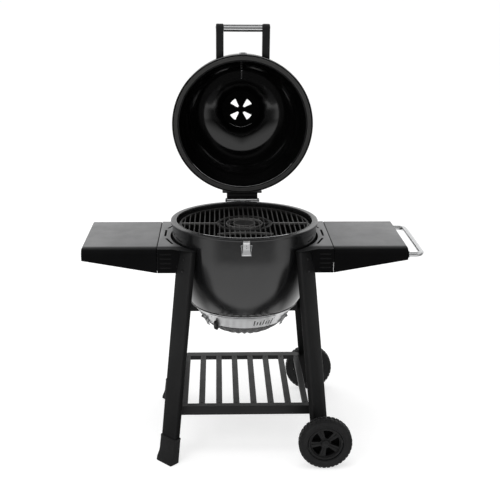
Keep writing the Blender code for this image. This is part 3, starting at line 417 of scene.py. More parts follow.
BODY = paint("body_enamel_black", (0.0060, 0.0061, 0.0064), rough=0.17, peel=0.7, wear=0.25,
             spec=0.80, dust=0.20)
RIM = paint("rim_black_gloss", (0.0090, 0.0090, 0.0094), rough=0.20, peel=0.6, wear=0.45,
            spec=0.76, dust=0.25)
LID_RIM = paint("lid_rim_black", (0.0030, 0.0030, 0.0032), rough=0.40, peel=0.6, wear=0.25,
                spec=0.10, dust=0.05)
ENAMEL = enamel("cook_box_enamel", (0.0024, 0.0024, 0.0025), rough=0.13, spec=0.6,
                smoke=VENT_SMOKE)
FIREBOX = enamel("fire_bowl_enamel", (0.0030, 0.0029, 0.0028), rough=0.50, spec=0.20)
# the frame carries painted shade where other parts crowd round it (painted_shade_reach)
LEG = paint("frame_black", (0.0058, 0.0059, 0.0061), rough=0.38, peel=0.6, grain=0.18,
            wear=0.30, spec=0.42, dust=0.20, painted_shade_reach=0.55)
HINGE_BLACK = paint("hinge_black", (0.0030, 0.0030, 0.0032), rough=0.42, peel=0.5, grain=0.2,
                    wear=0.30, spec=0.22, dust=0.1)
VENT_BLACK = paint("vent_soot_black", (0.0020, 0.0020, 0.0020), rough=0.60, peel=0.4, grain=0.2,
                   wear=0.12, spec=0.06, dust=0.0)
RACK = paint("rack_black", (0.0068, 0.0069, 0.0072), rough=0.46, peel=0.5, grain=0.22,
             wear=0.35, spec=0.32, dust=0.20)
# painted light: the grey top stands in for the bright backdrop reflected in the paint, the
# near-black skirts for shade
SHELF = lit_top_sheet("shelf_charcoal", top=((0.056, 0.0570, 0.0590), 0.36, 0.90),
                 skirt=((0.0034, 0.0034, 0.0036), 0.50, 0.03))
LOUVRE = paint("louvre_black", (0.0030, 0.0030, 0.0032), rough=0.40, peel=0.4, wear=0.20,
               spec=0.16, dust=0.05)
PLASTIC = plastic("moulded_black", (0.0062, 0.0062, 0.0065), rough=0.50, wear=0.20, spec=0.30)
KNOB = plastic("knob_black", (0.0040, 0.0040, 0.0042), rough=0.42, grain=0.2, wear=0.25)
# painted shade: near-black for the floors of recesses and slots where shade falls
SHADE_BLACK = plastic("recess_shade_black", (0.0012, 0.0012, 0.0013), rough=0.70, wear=0.0, spec=0.05)
TYRE = plastic("tyre_black", (0.0080, 0.0080, 0.0084), rough=0.62, grain=0.5, spec=0.30)
IRON = iron("cast_iron", (0.0100, 0.0098, 0.0096), rough=0.46, rub=0.6,
            bare=(0.13, 0.128, 0.125))
IRON_COALS = iron("cast_iron_coal_bed", (0.0024, 0.0023, 0.0022), rough=0.75, rub=0.10,
                  spec=0.06)
IRON_RUBBED = iron("cast_iron_rubbed", (0.0900, 0.0890, 0.0870), rough=0.36, rub=0.9,
                   bare=(0.48, 0.475, 0.47), spec=0.7)
STEEL_X = brushed("stainless_across", (0.72, 0.725, 0.73), rough=0.20, axis="X")
STEEL_Y = brushed("stainless_along", (0.70, 0.705, 0.71), rough=0.24, axis="Y")
STEEL_DULL = brushed("stainless_dull", (0.36, 0.362, 0.366), rough=0.38, axis="X")
ZINC = zinc("galvanised", (0.84, 0.845, 0.85), rough=0.30, spangle=0.06)
PAN_FLUTES = 24
# painted shade lies in the troughs of the pan's flutes
PAN = zinc("pan_grey", (0.060, 0.060, 0.062), rough=0.38, spangle=0.2, flutes=PAN_FLUTES)
CHROME = plated("chrome", (0.80, 0.81, 0.82), rough=0.10)
SATIN = plated("chrome_satin", (0.86, 0.865, 0.87), rough=0.28, metallic=0.86)
FELT = felted("gasket_felt", (0.024, 0.0236, 0.0230))
DIAL = print_ink("dial_white", (0.78, 0.78, 0.75), rough=0.45)
INK = print_ink("dial_ink", (0.012, 0.012, 0.012), rough=0.5)
RED = print_ink("needle_red", (0.55, 0.030, 0.020), rough=0.35)
GLASS = clear_glass("gauge_glass")


# ===================================================================== outlines
def spread(first, last, steps):
    return [first + (last - first) * k / steps for k in range(steps + 1)]


def fillet(points, steps=4):
    """Closed loop of (x, y) or (x, y, radius): a corner with a radius becomes an arc."""
    loop = []
    for i, point in enumerate(points):
        corner = Vector(point[:2])
        if len(point) == 2:
            loop.append(tuple(corner))
            continue
        before = Vector(points[i - 1][:2]) - corner
        after = Vector(points[(i + 1) % len(points)][:2]) - corner
        room = min(before.length * 0.48, after.length * 0.48)
        before.normalize()
        after.normalize()
        reach = min(point[2] / tan(before.angle(after) / 2), room)
        start = corner + before * reach
        end = corner + after * reach
        for k in range(steps + 1):
            t = k / steps
            loop.append(tuple(start * (1 - t) ** 2 + corner * 2 * t * (1 - t) + end * t * t))
    return loop


def curve_through(points, steps=6):
    """Smooth run through the given points."""
    given = [Vector(p) for p in points]
    given = [given[0] * 2 - given[1]] + given + [given[-1] * 2 - given[-2]]
    run = []
    for p0, p1, p2, p3 in zip(given, given[1:], given[2:], given[3:]):
        for k in range(steps):
            t = k / steps
            run.append(0.5 * (2 * p1 + (p2 - p0) * t + (2 * p0 - 5 * p1 + 4 * p2 - p3) * t * t
                              + (3 * p1 - p0 - 3 * p2 + p3) * t ** 3))
    run.append(given[-2])
    return [tuple(p) for p in run]


def oval(x, y, half_x, half_y, steps):
    turns = [2 * pi * k / steps for k in range(steps)]
    return [(x + half_x * cos(turn), y + half_y * sin(turn)) for turn in turns]


# ===================================================================== solids
def lathe(profile, steps=128, start=0, end=360, push=None):
    """Spin a closed (radius, z) profile about Z, from start to end degrees.

    push(angle, radius, z) gives extra (radius, z)."""
    mesh = bmesh.new()
    full = end - start == 360
    start, end = radians(start), radians(end)
    count = steps if full else steps + 1
    rays, poles = [], {}
    for i in range(count):
        angle = start + (end - start) * i / steps
        ray = []
        for k, (radius, z) in enumerate(profile):
            if radius == 0:
                if k not in poles:
                    poles[k] = mesh.verts.new((0, 0, z))
                ray.append(poles[k])
            else:
                out, rise = push(angle, radius, z) if push else (0, 0)
                ray.append(mesh.verts.new(((radius + out) * cos(angle),
                                           (radius + out) * sin(angle), z + rise)))
        rays.append(ray)
    size = len(profile)
    for i in range(steps):
        here, there = rays[i], rays[(i + 1) % count]
        for k in range(size):
            following = (k + 1) % size
            loop = []
            for vert in (here[k], there[k], there[following], here[following]):
                if vert not in loop:
                    loop.append(vert)
            if len(loop) > 2:
                mesh.faces.new(loop)
    if not full:
        mesh.faces.new(rays[0])
        mesh.faces.new(rays[-1][::-1])
    return mesh


def loft(loops, closed_ring=False):
    mesh = bmesh.new()
    rows = [[mesh.verts.new(p) for p in loop] for loop in loops]
    size = len(rows[0])
    for i in range(len(rows) if closed_ring else len(rows) - 1):
        here, there = rows[i], rows[(i + 1) % len(rows)]
        for k in range(size):
            mesh.faces.new((here[k], here[(k + 1) % size], there[(k + 1) % size], there[k]))
    if not closed_ring:
        mesh.faces.new(rows[0])
        mesh.faces.new(rows[-1][::-1])
    return mesh


def prism(points, axis, low, high):
    """Outline in the two other axes, run from low to high along axis 0, 1 or 2."""
    return loft([[(*p[:axis], height, *p[axis:]) for p in points] for height in (low, high)])


def block(x0, x1, y0, y1, z0, z1):
    return prism([(x0, y0), (x1, y0), (x1, y1), (x0, y1)], 2, z0, z1)


def circle(centre, side, up, radius, steps):
    turns = [2 * pi * k / steps for k in range(steps)]
    return [centre + (side * cos(turn) + up * sin(turn)) * radius for turn in turns]


def rod(centre, axis, radius, half, steps=24):
    axis = Vector(axis).normalized()
    side = axis.orthogonal().normalized()
    up = axis.cross(side)
    return loft([circle(Vector(centre) + axis * shift, side, up, radius, steps)
                 for shift in (-half, half)])


def sweep(path, radius, steps=16):
    """Round bar along a path."""
    points = [Vector(p) for p in path]
    rows, side = [], None
    for i, point in enumerate(points):
        ahead = (points[min(i + 1, len(points) - 1)] - points[max(i - 1, 0)]).normalized()
        if side is None:
            side = ahead.orthogonal().normalized()
        side = (side - ahead * side.dot(ahead)).normalized()
        rows.append(circle(point, side, ahead.cross(side), radius, steps))
    return loft(rows)


def fan(angle, inner, outer, inner_half, outer_half, z0, z1):
    """Wedge between two radii; the angle and the half angles at each radius are degrees."""
    points = []
    for radius, half in ((outer, radians(outer_half)), (inner, -radians(inner_half))):
        for k in range(9):
            turn = radians(angle) - half + 2 * half * k / 8
            points.append((radius * cos(turn), radius * sin(turn)))
    return prism(points, 2, z0, z1)


# ===================================================================== mesh steps
def moved(mesh, matrix):
    bmesh.ops.transform(mesh, matrix=matrix, verts=mesh.verts)
    if matrix.to_3x3().determinant() < 0:
        bmesh.ops.reverse_faces(mesh, faces=mesh.faces)
    return mesh


def turned(mesh, degrees):
    return moved(mesh, Matrix.Rotation(radians(degrees), 4, "Z"))


def along(direction, mesh, where):
    """Stand a mesh built about Z along a direction."""
    turn = Vector(UP).rotation_difference(Vector(direction)).to_matrix().to_4x4()
    return moved(mesh, Matrix.Translation(where) @ turn)


def sided(mesh, side):
    """Mirror a right-hand mesh when the side is left."""
    return moved(mesh, Matrix.Scale(-1, 4, RIGHT)) if side < 0 else mesh


def faced(mesh):
    bmesh.ops.recalc_face_normals(mesh, faces=mesh.faces)
    return mesh


def bake(mesh, name):
    """Store a bmesh as mesh data and free it."""
    data = bpy.data.meshes.new(name)
    mesh.to_mesh(data)
    mesh.free()
    return data


def add_object(name, data):
    made = bpy.data.objects.new(name, data)
    scene.collection.objects.link(made)
    return made


def take_mesh(source):
    """The evaluated shape of an object."""
    graph = bpy.context.evaluated_depsgraph_get()
    graph.update()
    data = bpy.data.meshes.new_from_object(source.evaluated_get(graph))
    mesh = bmesh.new()
    mesh.from_mesh(data)
    bpy.data.meshes.remove(data)
    return mesh


def joined(*parts):
    whole = bmesh.new()
    for part in parts:
        data = bake(faced(part), "part")
        whole.from_mesh(data)
        bpy.data.meshes.remove(data)
    return whole


def boolean(first, second, operation):
    operands = [add_object("operand", bake(faced(mesh), "operand")) for mesh in (first, second)]
    modifier = operands[0].modifiers.new("op", "BOOLEAN")
    modifier.operation = operation
    modifier.solver = "EXACT"
    modifier.use_self = True
    modifier.object = operands[1]
    result = take_mesh(operands[0])
    for operand in operands:
        data = operand.data
        bpy.data.objects.remove(operand, do_unlink=True)
        bpy.data.meshes.remove(data)
    return result


def cut(mesh, *tools):
    return boolean(mesh, joined(*tools), "DIFFERENCE")


def union(mesh, *others):
    return boolean(mesh, joined(*others), "UNION")


def soften(mesh, width, segments=2, angle=30):
    """Round the edges sharper than the given angle."""
    bmesh.ops.remove_doubles(mesh, verts=mesh.verts, dist=1e-7)
    faced(mesh)
    edges = [edge for edge in mesh.edges
             if len(edge.link_faces) == 2 and edge.calc_face_angle(0) > radians(angle)]
    if edges:
        bmesh.ops.bevel(mesh, geom=edges, offset=width, offset_type="OFFSET", segments=segments,
                        profile=0.5, affect="EDGES", clamp_overlap=True)
    return mesh


def soft_block(x0, x1, y0, y1, z0, z1, radius, segments=3):
    return soften(block(x0, x1, y0, y1, z0, z1), radius, segments)


def plate(points, axis, low, high, edge, segments=1, angle=60, steps=4):
    """Filleted outline given a thickness and softened edges."""
    return soften(prism(fillet(points, steps), axis, low, high), edge, segments, angle)


def piece(name, mesh, material, replaces=None, body="cart", place=LAYOUT, smooth=38):
    """A finished piece, carried from the layout frame and riding on a body."""
    bmesh.ops.remove_doubles(mesh, verts=mesh.verts, dist=1e-7)
    bmesh.ops.dissolve_degenerate(mesh, dist=1e-7, edges=mesh.edges)
    faced(mesh)
    bmesh.ops.transform(mesh, matrix=place, verts=mesh.verts)
    data = bake(mesh, name)
    made = add_object(name, data)
    data.materials.append(material)
    data.shade_smooth()
    data.set_sharp_from_angle(angle=radians(smooth))
    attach(made, body)
    if replaces:
        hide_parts(replaces)


def lid_piece(name, mesh, material, replaces=None, body="lid", smooth=38):
    """A piece laid out with the lid closed."""
    piece(name, mesh, material, replaces, body, LID, smooth)


def gauge_piece(name, mesh, material, replaces=None, body="lid"):
    """A lid piece built about Z and stood along the gauge's axis."""
    lid_piece(name, along(GAUGE_OUT, mesh, GAUGE), material, replaces, body)


def keep(node, material, bevel=None):
    """A CAD node that stays, with its finish and rounded edges; bevel is (width, segments)."""
    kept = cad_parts[node]
    kept.data.materials.clear()
    kept.data.materials.append(material)
    for face in kept.data.polygons:
        face.material_index = 0
    if bevel:
        weld = kept.modifiers.new("join", "WELD")
        weld.merge_threshold = 0.000002
        edge = kept.modifiers.new("edge", "BEVEL")
        edge.width, edge.segments = bevel
        edge.limit_method = "ANGLE"
        edge.angle_limit = radians(35)


# ===================================================================== fixings
def hex_bolt(where, axis, across, height, washer=True):
    """A hex head whose base sits at `where`, with its head out along the axis."""
    radius = across / 2 / cos(pi / 6)
    head = fillet([(radius * cos(pi / 3 * k), radius * sin(pi / 3 * k), radius * 0.08)
                   for k in range(6)], 1)
    mesh = loft([[(x * taper, y * taper, z) for x, y in head]
                 for z, taper in ((-0.0006, 1), (height * 0.80, 1), (height, 0.90))])
    if washer:
        wide, narrow = radius * 1.35, radius * 1.22
        mesh = joined(mesh, lathe([(0, -0.0008), (wide, -0.0008), (wide, 0.0007),
                                   (narrow, 0.0011), (0, 0.0011)], 32))
    return along(axis, mesh, where)


def dome_head(where, axis, radius, height, steps=32):
    """A round-headed rivet or carriage bolt."""
    profile = [(0, -0.0008), (radius, -0.0008), (radius, 0.0002)]
    for k in range(1, 6):
        turn = k / 6 * pi / 2
        profile.append((radius * cos(turn), 0.0002 + height * sin(turn)))
    profile.append((0, 0.0002 + height))
    return along(axis, lathe(profile, steps), where)


def dome_heads(places, axis, radius, height, steps=32):
    return joined(*[dome_head(where, axis, radius, height, steps) for where in places])


# ===================================================================== bowl
BOWL_R, BOWL_WAIST_Z = 0.279, 0.8       # straight wall above the waist
BOWL_FOOT_R, BOWL_FOOT_Z = 0.21, 0.5535
BOWL_WALL = 0.0018


def bowl_radius(z):
    if z >= BOWL_WAIST_Z:
        return BOWL_R
    drop = (BOWL_WAIST_Z - z) / (BOWL_WAIST_Z - BOWL_FOOT_Z)
    return BOWL_R - (BOWL_R - BOWL_FOOT_R) * drop ** 2.4


def build_bowl():
    low, high = 0.56, 0.8705
    bead = [(0.2066, 0.5542), (0.2078, BOWL_FOOT_Z), (0.2108, BOWL_FOOT_Z + 0.0001),
            (0.2122, 0.555), (0.2122, 0.5572), (0.2116, 0.5584)]
    outside = [(bowl_radius(z), z) for z in spread(low, high, 44)]
    inside = [(bowl_radius(z) - BOWL_WALL, z) for z in spread(high, low, 30)]
    piece("bowl_outer_shell", lathe(bead + outside + inside, 192), BODY,
          "bowl_shell", smooth=50)
    ring = fillet([(0.2625, 0.8716, 0.0008), (0.2843, 0.8716, 0.0014), (0.2846, 0.8806),
                   (0.284, 0.8821, 0.0012), (0.2658, 0.8821, 0.0012), (0.2649, 0.8809, 0.0006),
                   (0.2625, 0.8806, 0.001)], 3)
    piece("bowl_top_ring", lathe(ring, 192), RIM, "bowl_rim")
    bead = oval(0.2647, 0.8819, 0.0019, 0.0012, 12)
    # painted highlight: the bead's front arc is bright steel for the highlight along the rim's
    # front edge; the rest is in the rim's black paint
    piece("bowl_rim_bead", lathe(bead, 72, -126, -54), STEEL_X, smooth=60)
    piece("bowl_rim_bead_rear", lathe(bead, 150, -53.7, 233.7), RIM, smooth=60)


def build_fire_bowl():
    # (radius, z), down the inside and back up the outside
    inside = curve_through([(0.2445, 0.856), (0.2446, 0.795), (0.2365, 0.72), (0.218, 0.655),
                            (0.19, 0.606), (0.15, 0.577), (0.11, 0.5665)])
    outside = curve_through([(0.11, 0.5645), (0.151, 0.575), (0.1915, 0.6042), (0.22, 0.654),
                             (0.2385, 0.7195), (0.2467, 0.795), (0.2475, 0.854)])
    flange_in = [(0.2625, 0.8705), (0.2625, 0.8578), (0.2618, 0.857), (0.2455, 0.8568)]
    flange_out = [(0.248, 0.855), (0.2638, 0.8552), (0.2645, 0.856), (0.2645, 0.8705)]
    piece("fire_bowl_liner", lathe(flange_in + inside + outside + flange_out, 144), FIREBOX,
          "bowl_liner", smooth=50)
    keep("charcoal_grate", IRON_COALS, bevel=(0.001, 1))


# ===================================================================== cone, pan, air band
CONE_LOW, CONE_HIGH = (0.163, 0.4905), (0.2058, 0.553)      # (radius, z)
CONE_SLOPE = (CONE_HIGH[0] - CONE_LOW[0]) / (CONE_HIGH[1] - CONE_LOW[1])
BAND_LOW, BAND_HIGH = 0.495, 0.545


def cone_radius(z):
    return CONE_LOW[0] + CONE_SLOPE * (z - CONE_LOW[1])


def on_cone(mesh, degrees, z, off=0.0):
    """Set a mesh on the cone: its X round the cone, Y up the slope, Z outwards."""
    angle = radians(degrees)
    radial = Vector((cos(angle), sin(angle), 0))
    around = Vector((-sin(angle), cos(angle), 0))
    slope = (radial * CONE_SLOPE + Vector(UP)).normalized()
    out = around.cross(slope).normalized()
    if out.dot(radial) < 0:
        out = -out
    origin = radial * cone_radius(z) + Vector((0, 0, z)) + out * off
    columns = zip(around, slope, out, origin)
    return moved(mesh, Matrix((*columns, (0, 0, 0, 1))))


def build_ash_cone():
    low, high = 0.492, 0.5515
    profile = [(0.1611, 0.4907), (0.1622, 0.49), (0.1634, 0.4907)]
    profile += [(cone_radius(z), z) for z in spread(low, high, 10)]
    profile += [(0.2057, 0.5532), (0.206, 0.5545), (0.206, 0.564), (0.205, 0.5644),
                (0.2041, 0.564), (0.2039, 0.5534)]
    profile += [(cone_radius(z) - 0.0019, z) for z in spread(high, low, 10)]
    window = lathe([(0.14, 0.502), (0.215, 0.502), (0.215, 0.532), (0.14, 0.532)], 8, -123, -114)
    piece("ash_cone", cut(lathe(profile, 144), window), ZINC, "lower_cone",
          smooth=50)


def pan_flute(angle, radius, z):
    """Push for the flutes, fading out towards the middle and the rim of the pan."""
    fade = max(0.0, min(1.0, (radius - 0.045) / 0.045))
    fade *= max(0.0, min(1.0, (0.159 - radius) / 0.018))
    wave = 0.5 + 0.5 * cos(PAN_FLUTES * angle)
    return (0.003 * wave - 0.0028) * fade, (0.0038 - 0.0042 * wave) * fade


def build_ash_pan():
    outside = curve_through([(0.001, 0.43), (0.025, 0.4302), (0.05, 0.4315), (0.087, 0.439),
                             (0.129, 0.46), (0.1608, 0.4868)], 7)
    inside = [(radius - 0.0006, z + 0.0018) for radius, z in outside[::-1] if radius > 0.02]
    rim = [(0.1628, 0.4876), (0.1632, 0.4888), (0.1628, 0.4896), (0.1616, 0.4893)]
    profile = [(0, 0.43)] + outside[1:] + rim + inside + [(0, 0.4318)]
    piece("ash_pan_dish", lathe(profile, 288, push=pan_flute), PAN, "ash_pan",
          body="ash_pan", smooth=50)


def build_air_band():
    # outside face, rolled a little at both edges, then the inner face
    profile = [(cone_radius(z) + (0.0024 if 0 < k < 8 else 0.0019), z)
               for k, z in enumerate(spread(BAND_LOW, BAND_HIGH, 8))]
    profile += [(cone_radius(z) + 0.0008, z) for z in (BAND_HIGH, BAND_LOW)]
    piece("air_band", lathe(profile, 64, -133, -54), ZINC, "damper_band",
          body="air_damper", smooth=50)

    # (angle, length) of each printed bar
    bars = ((-79.0, 0.03), (-75.2, 0.02), (-71.4, 0.02), (-67.6, 0.03), (-63.8, 0.02),
            (-60.0, 0.02), (-56.6, 0.03))
    marks = [on_cone(soft_block(-0.002, 0.002, -0.015, -0.015 + length, 0.0016, 0.0026,
                                0.0003, 1), angle, 0.52) for angle, length in bars]
    piece("air_band_scale", joined(*marks), INK, body="air_damper")

    # (angle, z)
    rivets = ((-131.4, 0.535), (-125.6, 0.535), (-55.2, 0.535), (-55.2, 0.506))
    heads = [on_cone(dome_head((0, 0, 0.002), UP, 0.0024, 0.0012), *spot) for spot in rivets]
    piece("air_band_rivets", joined(*heads), CHROME, body="air_damper")

    knob = plate([(-0.0095, -0.0235, 0.009), (0.0095, -0.0235, 0.009), (0.0052, 0.029, 0.005),
                  (-0.0052, 0.029, 0.005)], 2, 0.0034, 0.0165, 0.0028, 3, angle=50, steps=6)
    ribs = [soft_block(-0.006, 0.006, y - 0.0007, y + 0.0007, 0.016, 0.0172, 0.0004, 1)
            for y in (-0.014, -0.010, -0.006, -0.002)]
    knob = on_cone(turned(union(knob, *ribs), -18), -128.9, 0.5)
    pan_room = lathe([(0, 0.45), (0.1664, 0.45), (0.1664, 0.491), (0, 0.491)], 160)
    piece("air_damper_knob", cut(knob, pan_room), KNOB, "damper_knob",
          body="air_damper")


def clip_leaf():
    """Bent leaf hanging from a barrel."""
    front = curve_through([(-0.0002, 0.001), (0.0002, -0.008), (0.0003, -0.022),
                           (0.0008, -0.03), (0.0034, -0.0375)], 5)     # (out, up)
    back = [(out - 0.0013, up - 0.0002) for out, up in front[::-1]]
    rows = []
    for x in (-0.0105, -0.0098, -0.005, 0.005, 0.0098, 0.0105):
        ease = 0.0004 if abs(x) > 0.010 else 0.0
        rows.append([(x, up, out - ease) for out, up in front]
                    + [(x, up, out + ease) for out, up in back])
    return union(loft(rows), rod((0, 0, 0), RIGHT, 0.0028, 0.0135))


def clip_mount():
    base = soft_block(-0.016, 0.016, 0.003, 0.02, -0.006, -0.0048, 0.0005, 2)
    ears = [plate([(-0.0055, -0.0058), (0.006, -0.0058), (0.004, 0.0032, 0.003),
                   (-0.0045, 0.0032, 0.003)], 0, x - 0.0009, x + 0.0009, 0.0003, angle=50)
            for x in (-0.015, 0.015)]
    heads = dome_heads([(x, 0.015, -0.0049) for x in (-0.01, 0.01)], UP, 0.0024, 0.0011, 20)
    return joined(base, *ears, heads)


def build_pan_clips():
    for word, angle in (("left", -147.5), ("right", -32.5)):
        spot = (angle, 0.517, 0.0062)
        piece(f"pan_clip_{word}", on_cone(clip_leaf(), *spot), STEEL_DULL,
              f"clip_{word}", body=f"{word}_clip", smooth=34)
        piece(f"pan_clip_mount_{word}", on_cone(clip_mount(), *spot), STEEL_DULL)


# ===================================================================== legs and rack
LEG_WIDTH, LEG_THICK = 0.0769, 0.025
LEG_TOP_Z = 0.82
LEG_TOP = (0.2178, 0.2005)                                  # leg centre (x, y) at the top
LEG_FEET = {-1: (0.2953, 0.2947), 1: (0.303, 0.263)}        # and at the floor: front, rear
DIAGONAL = sqrt(0.5)                                        # legs stand at 45 degrees

WHEEL_X, WHEEL_Y = 0.3001, 0.349
WHEEL_R = 0.1016
WHEEL_Z = WHEEL_R

# foot cap, bottom up: (z, growth over the leg section, corner radius, outer face pushed out)
FOOT_SECTIONS = (
    (0.0, 0.0026, 0.005, 0.012), (0.0018, 0.0066, 0.006, 0.012), (0.014, 0.0066, 0.006, 0.0108),
    (0.02, 0.0066, 0.006, 0.0088), (0.036, 0.0066, 0.006, 0.0022), (0.044, 0.0066, 0.006, 0.0004),
    (0.0925, 0.006, 0.006, 0.0), (0.0935, 0.0072, 0.0062, 0.0), (0.0985, 0.0072, 0.0062, 0.0),
    (0.1, 0.0054, 0.0055, 0.0), (0.1, 0.0008, 0.005, 0.0), (0.008, 0.0008, 0.005, 0.0),
)


def leg_centre(z, end):
    return tuple(low + (top - low) * z / LEG_TOP_Z for low, top in zip(LEG_FEET[end], LEG_TOP))


def leg_section(side, end, z, grow=0.0, radius=0.0045, out=0.0):
    """Rounded tube section at height z; out shifts the outer face."""
    x, y = leg_centre(z, end)
    wide, thick = (LEG_WIDTH + grow) / 2, (LEG_THICK + grow) / 2
    loop = fillet([(wide, thick + out, radius), (-wide, thick + out, radius),
                   (-wide, -thick, radius), (wide, -thick, radius)])
    return [((x + (a + b) * DIAGONAL) * side, (y + (-a + b) * DIAGONAL) * end, z)
            for a, b in loop]


def leg_tube(side, end):
    bottom, top = (0.0085 if side < 0 else 0.07), 0.817
    loops = [leg_section(side, end, bottom)]
    if side < 0:                        # sleeve seam above the foot
        for z, grow in ((0.185, 0.0), (0.1853, -0.0014), (0.1866, -0.0014), (0.1869, 0.0)):
            loops.append(leg_section(side, end, z, grow))
    loops += [leg_section(side, end, top), leg_section(side, end, top, -0.003, 0.0032),
              leg_section(side, end, bottom, -0.003, 0.0032)]
    tube = loft(loops, closed_ring=True)
    if side > 0:                        # hole for the axle
        tube = cut(tube, rod((WHEEL_X, 0.30 * end, WHEEL_Z), BACK, 0.0066, 0.1))
    return tube


def leg_face(side, end, z, out):
    """Point and normal on the outer (out = 1) or inner (out = -1) face of a leg."""
    x, y = leg_centre(z, end)
    normal = Vector((side * out, end * out, 0)).normalized()
    return Vector((x * side, y * end, z)) + normal * (LEG_THICK / 2), normal


def build_legs():
    for end, end_word in ENDS:
        for side, side_word in SIDES:
            name = f"{end_word}_{side_word}"
            piece(f"leg_tube_{name}", leg_tube(side, end), LEG, f"leg_{name}",
                  smooth=30)
        foot = loft([leg_section(-1, end, *row) for row in FOOT_SECTIONS])
        piece(f"foot_cap_{end_word}", foot, PLASTIC, f"foot_{end_word}",
              smooth=30)

    bolts, caps = [], []
    for end in (-1, 1):
        for side in (-1, 1):
            for z in (0.785, 0.74):
                caps.append(dome_head(*leg_face(side, end, z, 1), 0.0058, 0.0026))
            spot, normal = leg_face(side, end, 0.196, -1)
            across = Vector((normal.y, -normal.x, 0)) * side * end
            spot = spot + Vector((0, 0, -0.03)) - across * 0.016
            bolts.append(hex_bolt(spot, normal, 0.01, 0.005))
    piece("leg_cap_bolts", joined(*caps), LEG)
    piece("rail_hex_bolts", joined(*bolts), CHROME)


def build_rack():
    slats, pitch = 8, 0.0667
    for name in ("rail_front", "rail_rear", "stretcher_rear"):
        keep(name, RACK, bevel=(0.0008, 2))
    for i in range(slats):
        keep(f"slat_{i + 1}", RACK)
    spots = [((i - (slats - 1) / 2) * pitch, y, 0.2057)
             for i in range(slats) for y in (-0.214, 0.227)]
    piece("slat_screws", dome_heads(spots, UP, 0.0034, 0.0012, 20), RACK)


# ===================================================================== side shelves
SHELF_TOP = 0.8196
SEAM_X, SHELF_END_X = 0.3287, 0.6087    # inner and outer ends of the right shelf
SHELF_X0 = SEAM_X + 0.0005
SHELF_FRONT, SHELF_BACK = -0.198, 0.194
SHEET = 0.002
SKIRT = 0.0926                          # depth of the skirts at the seam
BEND, ROLL = 0.005, 0.026               # radius of the end and back bends; of the front roll
FOLD_X, FOLD_Z = SEAM_X + 0.0003, 0.7205


def fold_hole():
    return rod((FOLD_X, 0, FOLD_Z), BACK, 0.0031, 0.3, 20)


def skirt_bottom(x):
    """Bottom of the shelf's skirt: steep to a knee near the outer end, then almost level."""
    start, knee = SEAM_X + 0.0013, SHELF_END_X - 0.03
    start_z, knee_z, end_z = SHELF_TOP - SKIRT, SHELF_TOP - 0.047, SHELF_TOP - 0.044
    if x <= knee:
        return start_z + (knee_z - start_z) * max(0.0, (x - start)) / (knee - start)
    return knee_z + (end_z - knee_z) * (x - knee) / (SHELF_END_X - knee)


def tray_ring(inset, radius, front):
    """Rounded rectangle inside the shelf's outline; front is the inset along -Y."""
    points = []
    for right, back, start in ((1, 1, 0), (-1, 1, 90), (-1, -1, 180), (1, -1, 270)):
        x = SHELF_END_X if right > 0 else SHELF_X0
        y = SHELF_BACK if back > 0 else SHELF_FRONT
        depth = front if back < 0 else inset
        for k in range(5):
            turn = radians(start + 90 * k / 4)
            points.append((x - right * (inset + radius) + radius * cos(turn),
                           y - back * (depth + radius) + radius * sin(turn)))
    return points


def tray_skin(inset):
    """The sheet's surface, inset from the outside."""
    wall = tray_ring(inset, max(BEND - inset, 0.0006), inset)
    rows = [[(x, y, skirt_bottom(x)) for x, y in wall]]
    for k in range(9):
        turn = pi / 2 * k / 8
        z = SHELF_TOP - ROLL + (ROLL - inset) * sin(turn)
        rise = max(0.0, min(1.0, (z - (SHELF_TOP - BEND)) / (BEND - inset)))
        near = inset + (BEND - inset) * (1 - sqrt(max(0.0, 1 - rise * rise)))
        far = inset + (ROLL - inset) * (1 - cos(turn))
        rows.append([(x, y, z) for x, y in tray_ring(near, max(BEND - near, 0.0003), far)])
    return rows


def tray():
    """Pressed sheet tray, open below."""
    mesh = bmesh.new()
    outer, inner = ([[mesh.verts.new(p) for p in row] for row in tray_skin(inset)]
                    for inset in (0.0, SHEET))
    size = len(outer[0])
    for rows, flip in ((outer, False), (inner, True)):
        for low, high in zip(rows, rows[1:]):
            for k in range(size):
                face = (low[k], low[(k + 1) % size], high[(k + 1) % size], high[k])
                mesh.faces.new(face[::-1] if flip else face)
    mesh.faces.new(outer[-1])
    mesh.faces.new(inner[-1][::-1])
    for k in range(size):
        following = (k + 1) % size
        mesh.faces.new((outer[0][following], outer[0][k], inner[0][k], inner[0][following]))
    return mesh


def shelf_mesh():
    # open the wall next to the seam below its flange
    shelf = cut(tray(), block(SHELF_X0 - 0.01, SHELF_X0 + 0.003, SHELF_FRONT + 0.0045,
                              SHELF_BACK - 0.0045, 0.70, 0.765))
    ear = fillet([(SEAM_X - 0.004, FOLD_Z - 0.005, 0.004), (SEAM_X + 0.006, FOLD_Z - 0.005, 0.004),
                  (SHELF_X0 + 0.0062, 0.77), (SHELF_X0 + 0.0006, 0.77),
                  (SHELF_X0 + 0.0006, 0.729), (SEAM_X - 0.004, FOLD_Z + 0.005, 0.004)])
    shelf = union(shelf, *[prism(ear, 1, y - 0.003, y + 0.003) for y in (-0.132, 0.128)])
    return cut(shelf, fold_hole())


def skirt_edge(y, z, end):
    """X where a bracket flange at depth y meets the sloping leg."""
    leg_x, leg_y = leg_centre(z, end)
    corner_y = leg_y - (LEG_WIDTH - LEG_THICK) / 2 * DIAGONAL
    depth = min(max(corner_y, abs(y) - SHEET), abs(y))
    return min(leg_x + leg_y + LEG_THICK * DIAGONAL - depth,
               leg_x - leg_y + LEG_WIDTH * DIAGONAL + depth) + 0.001


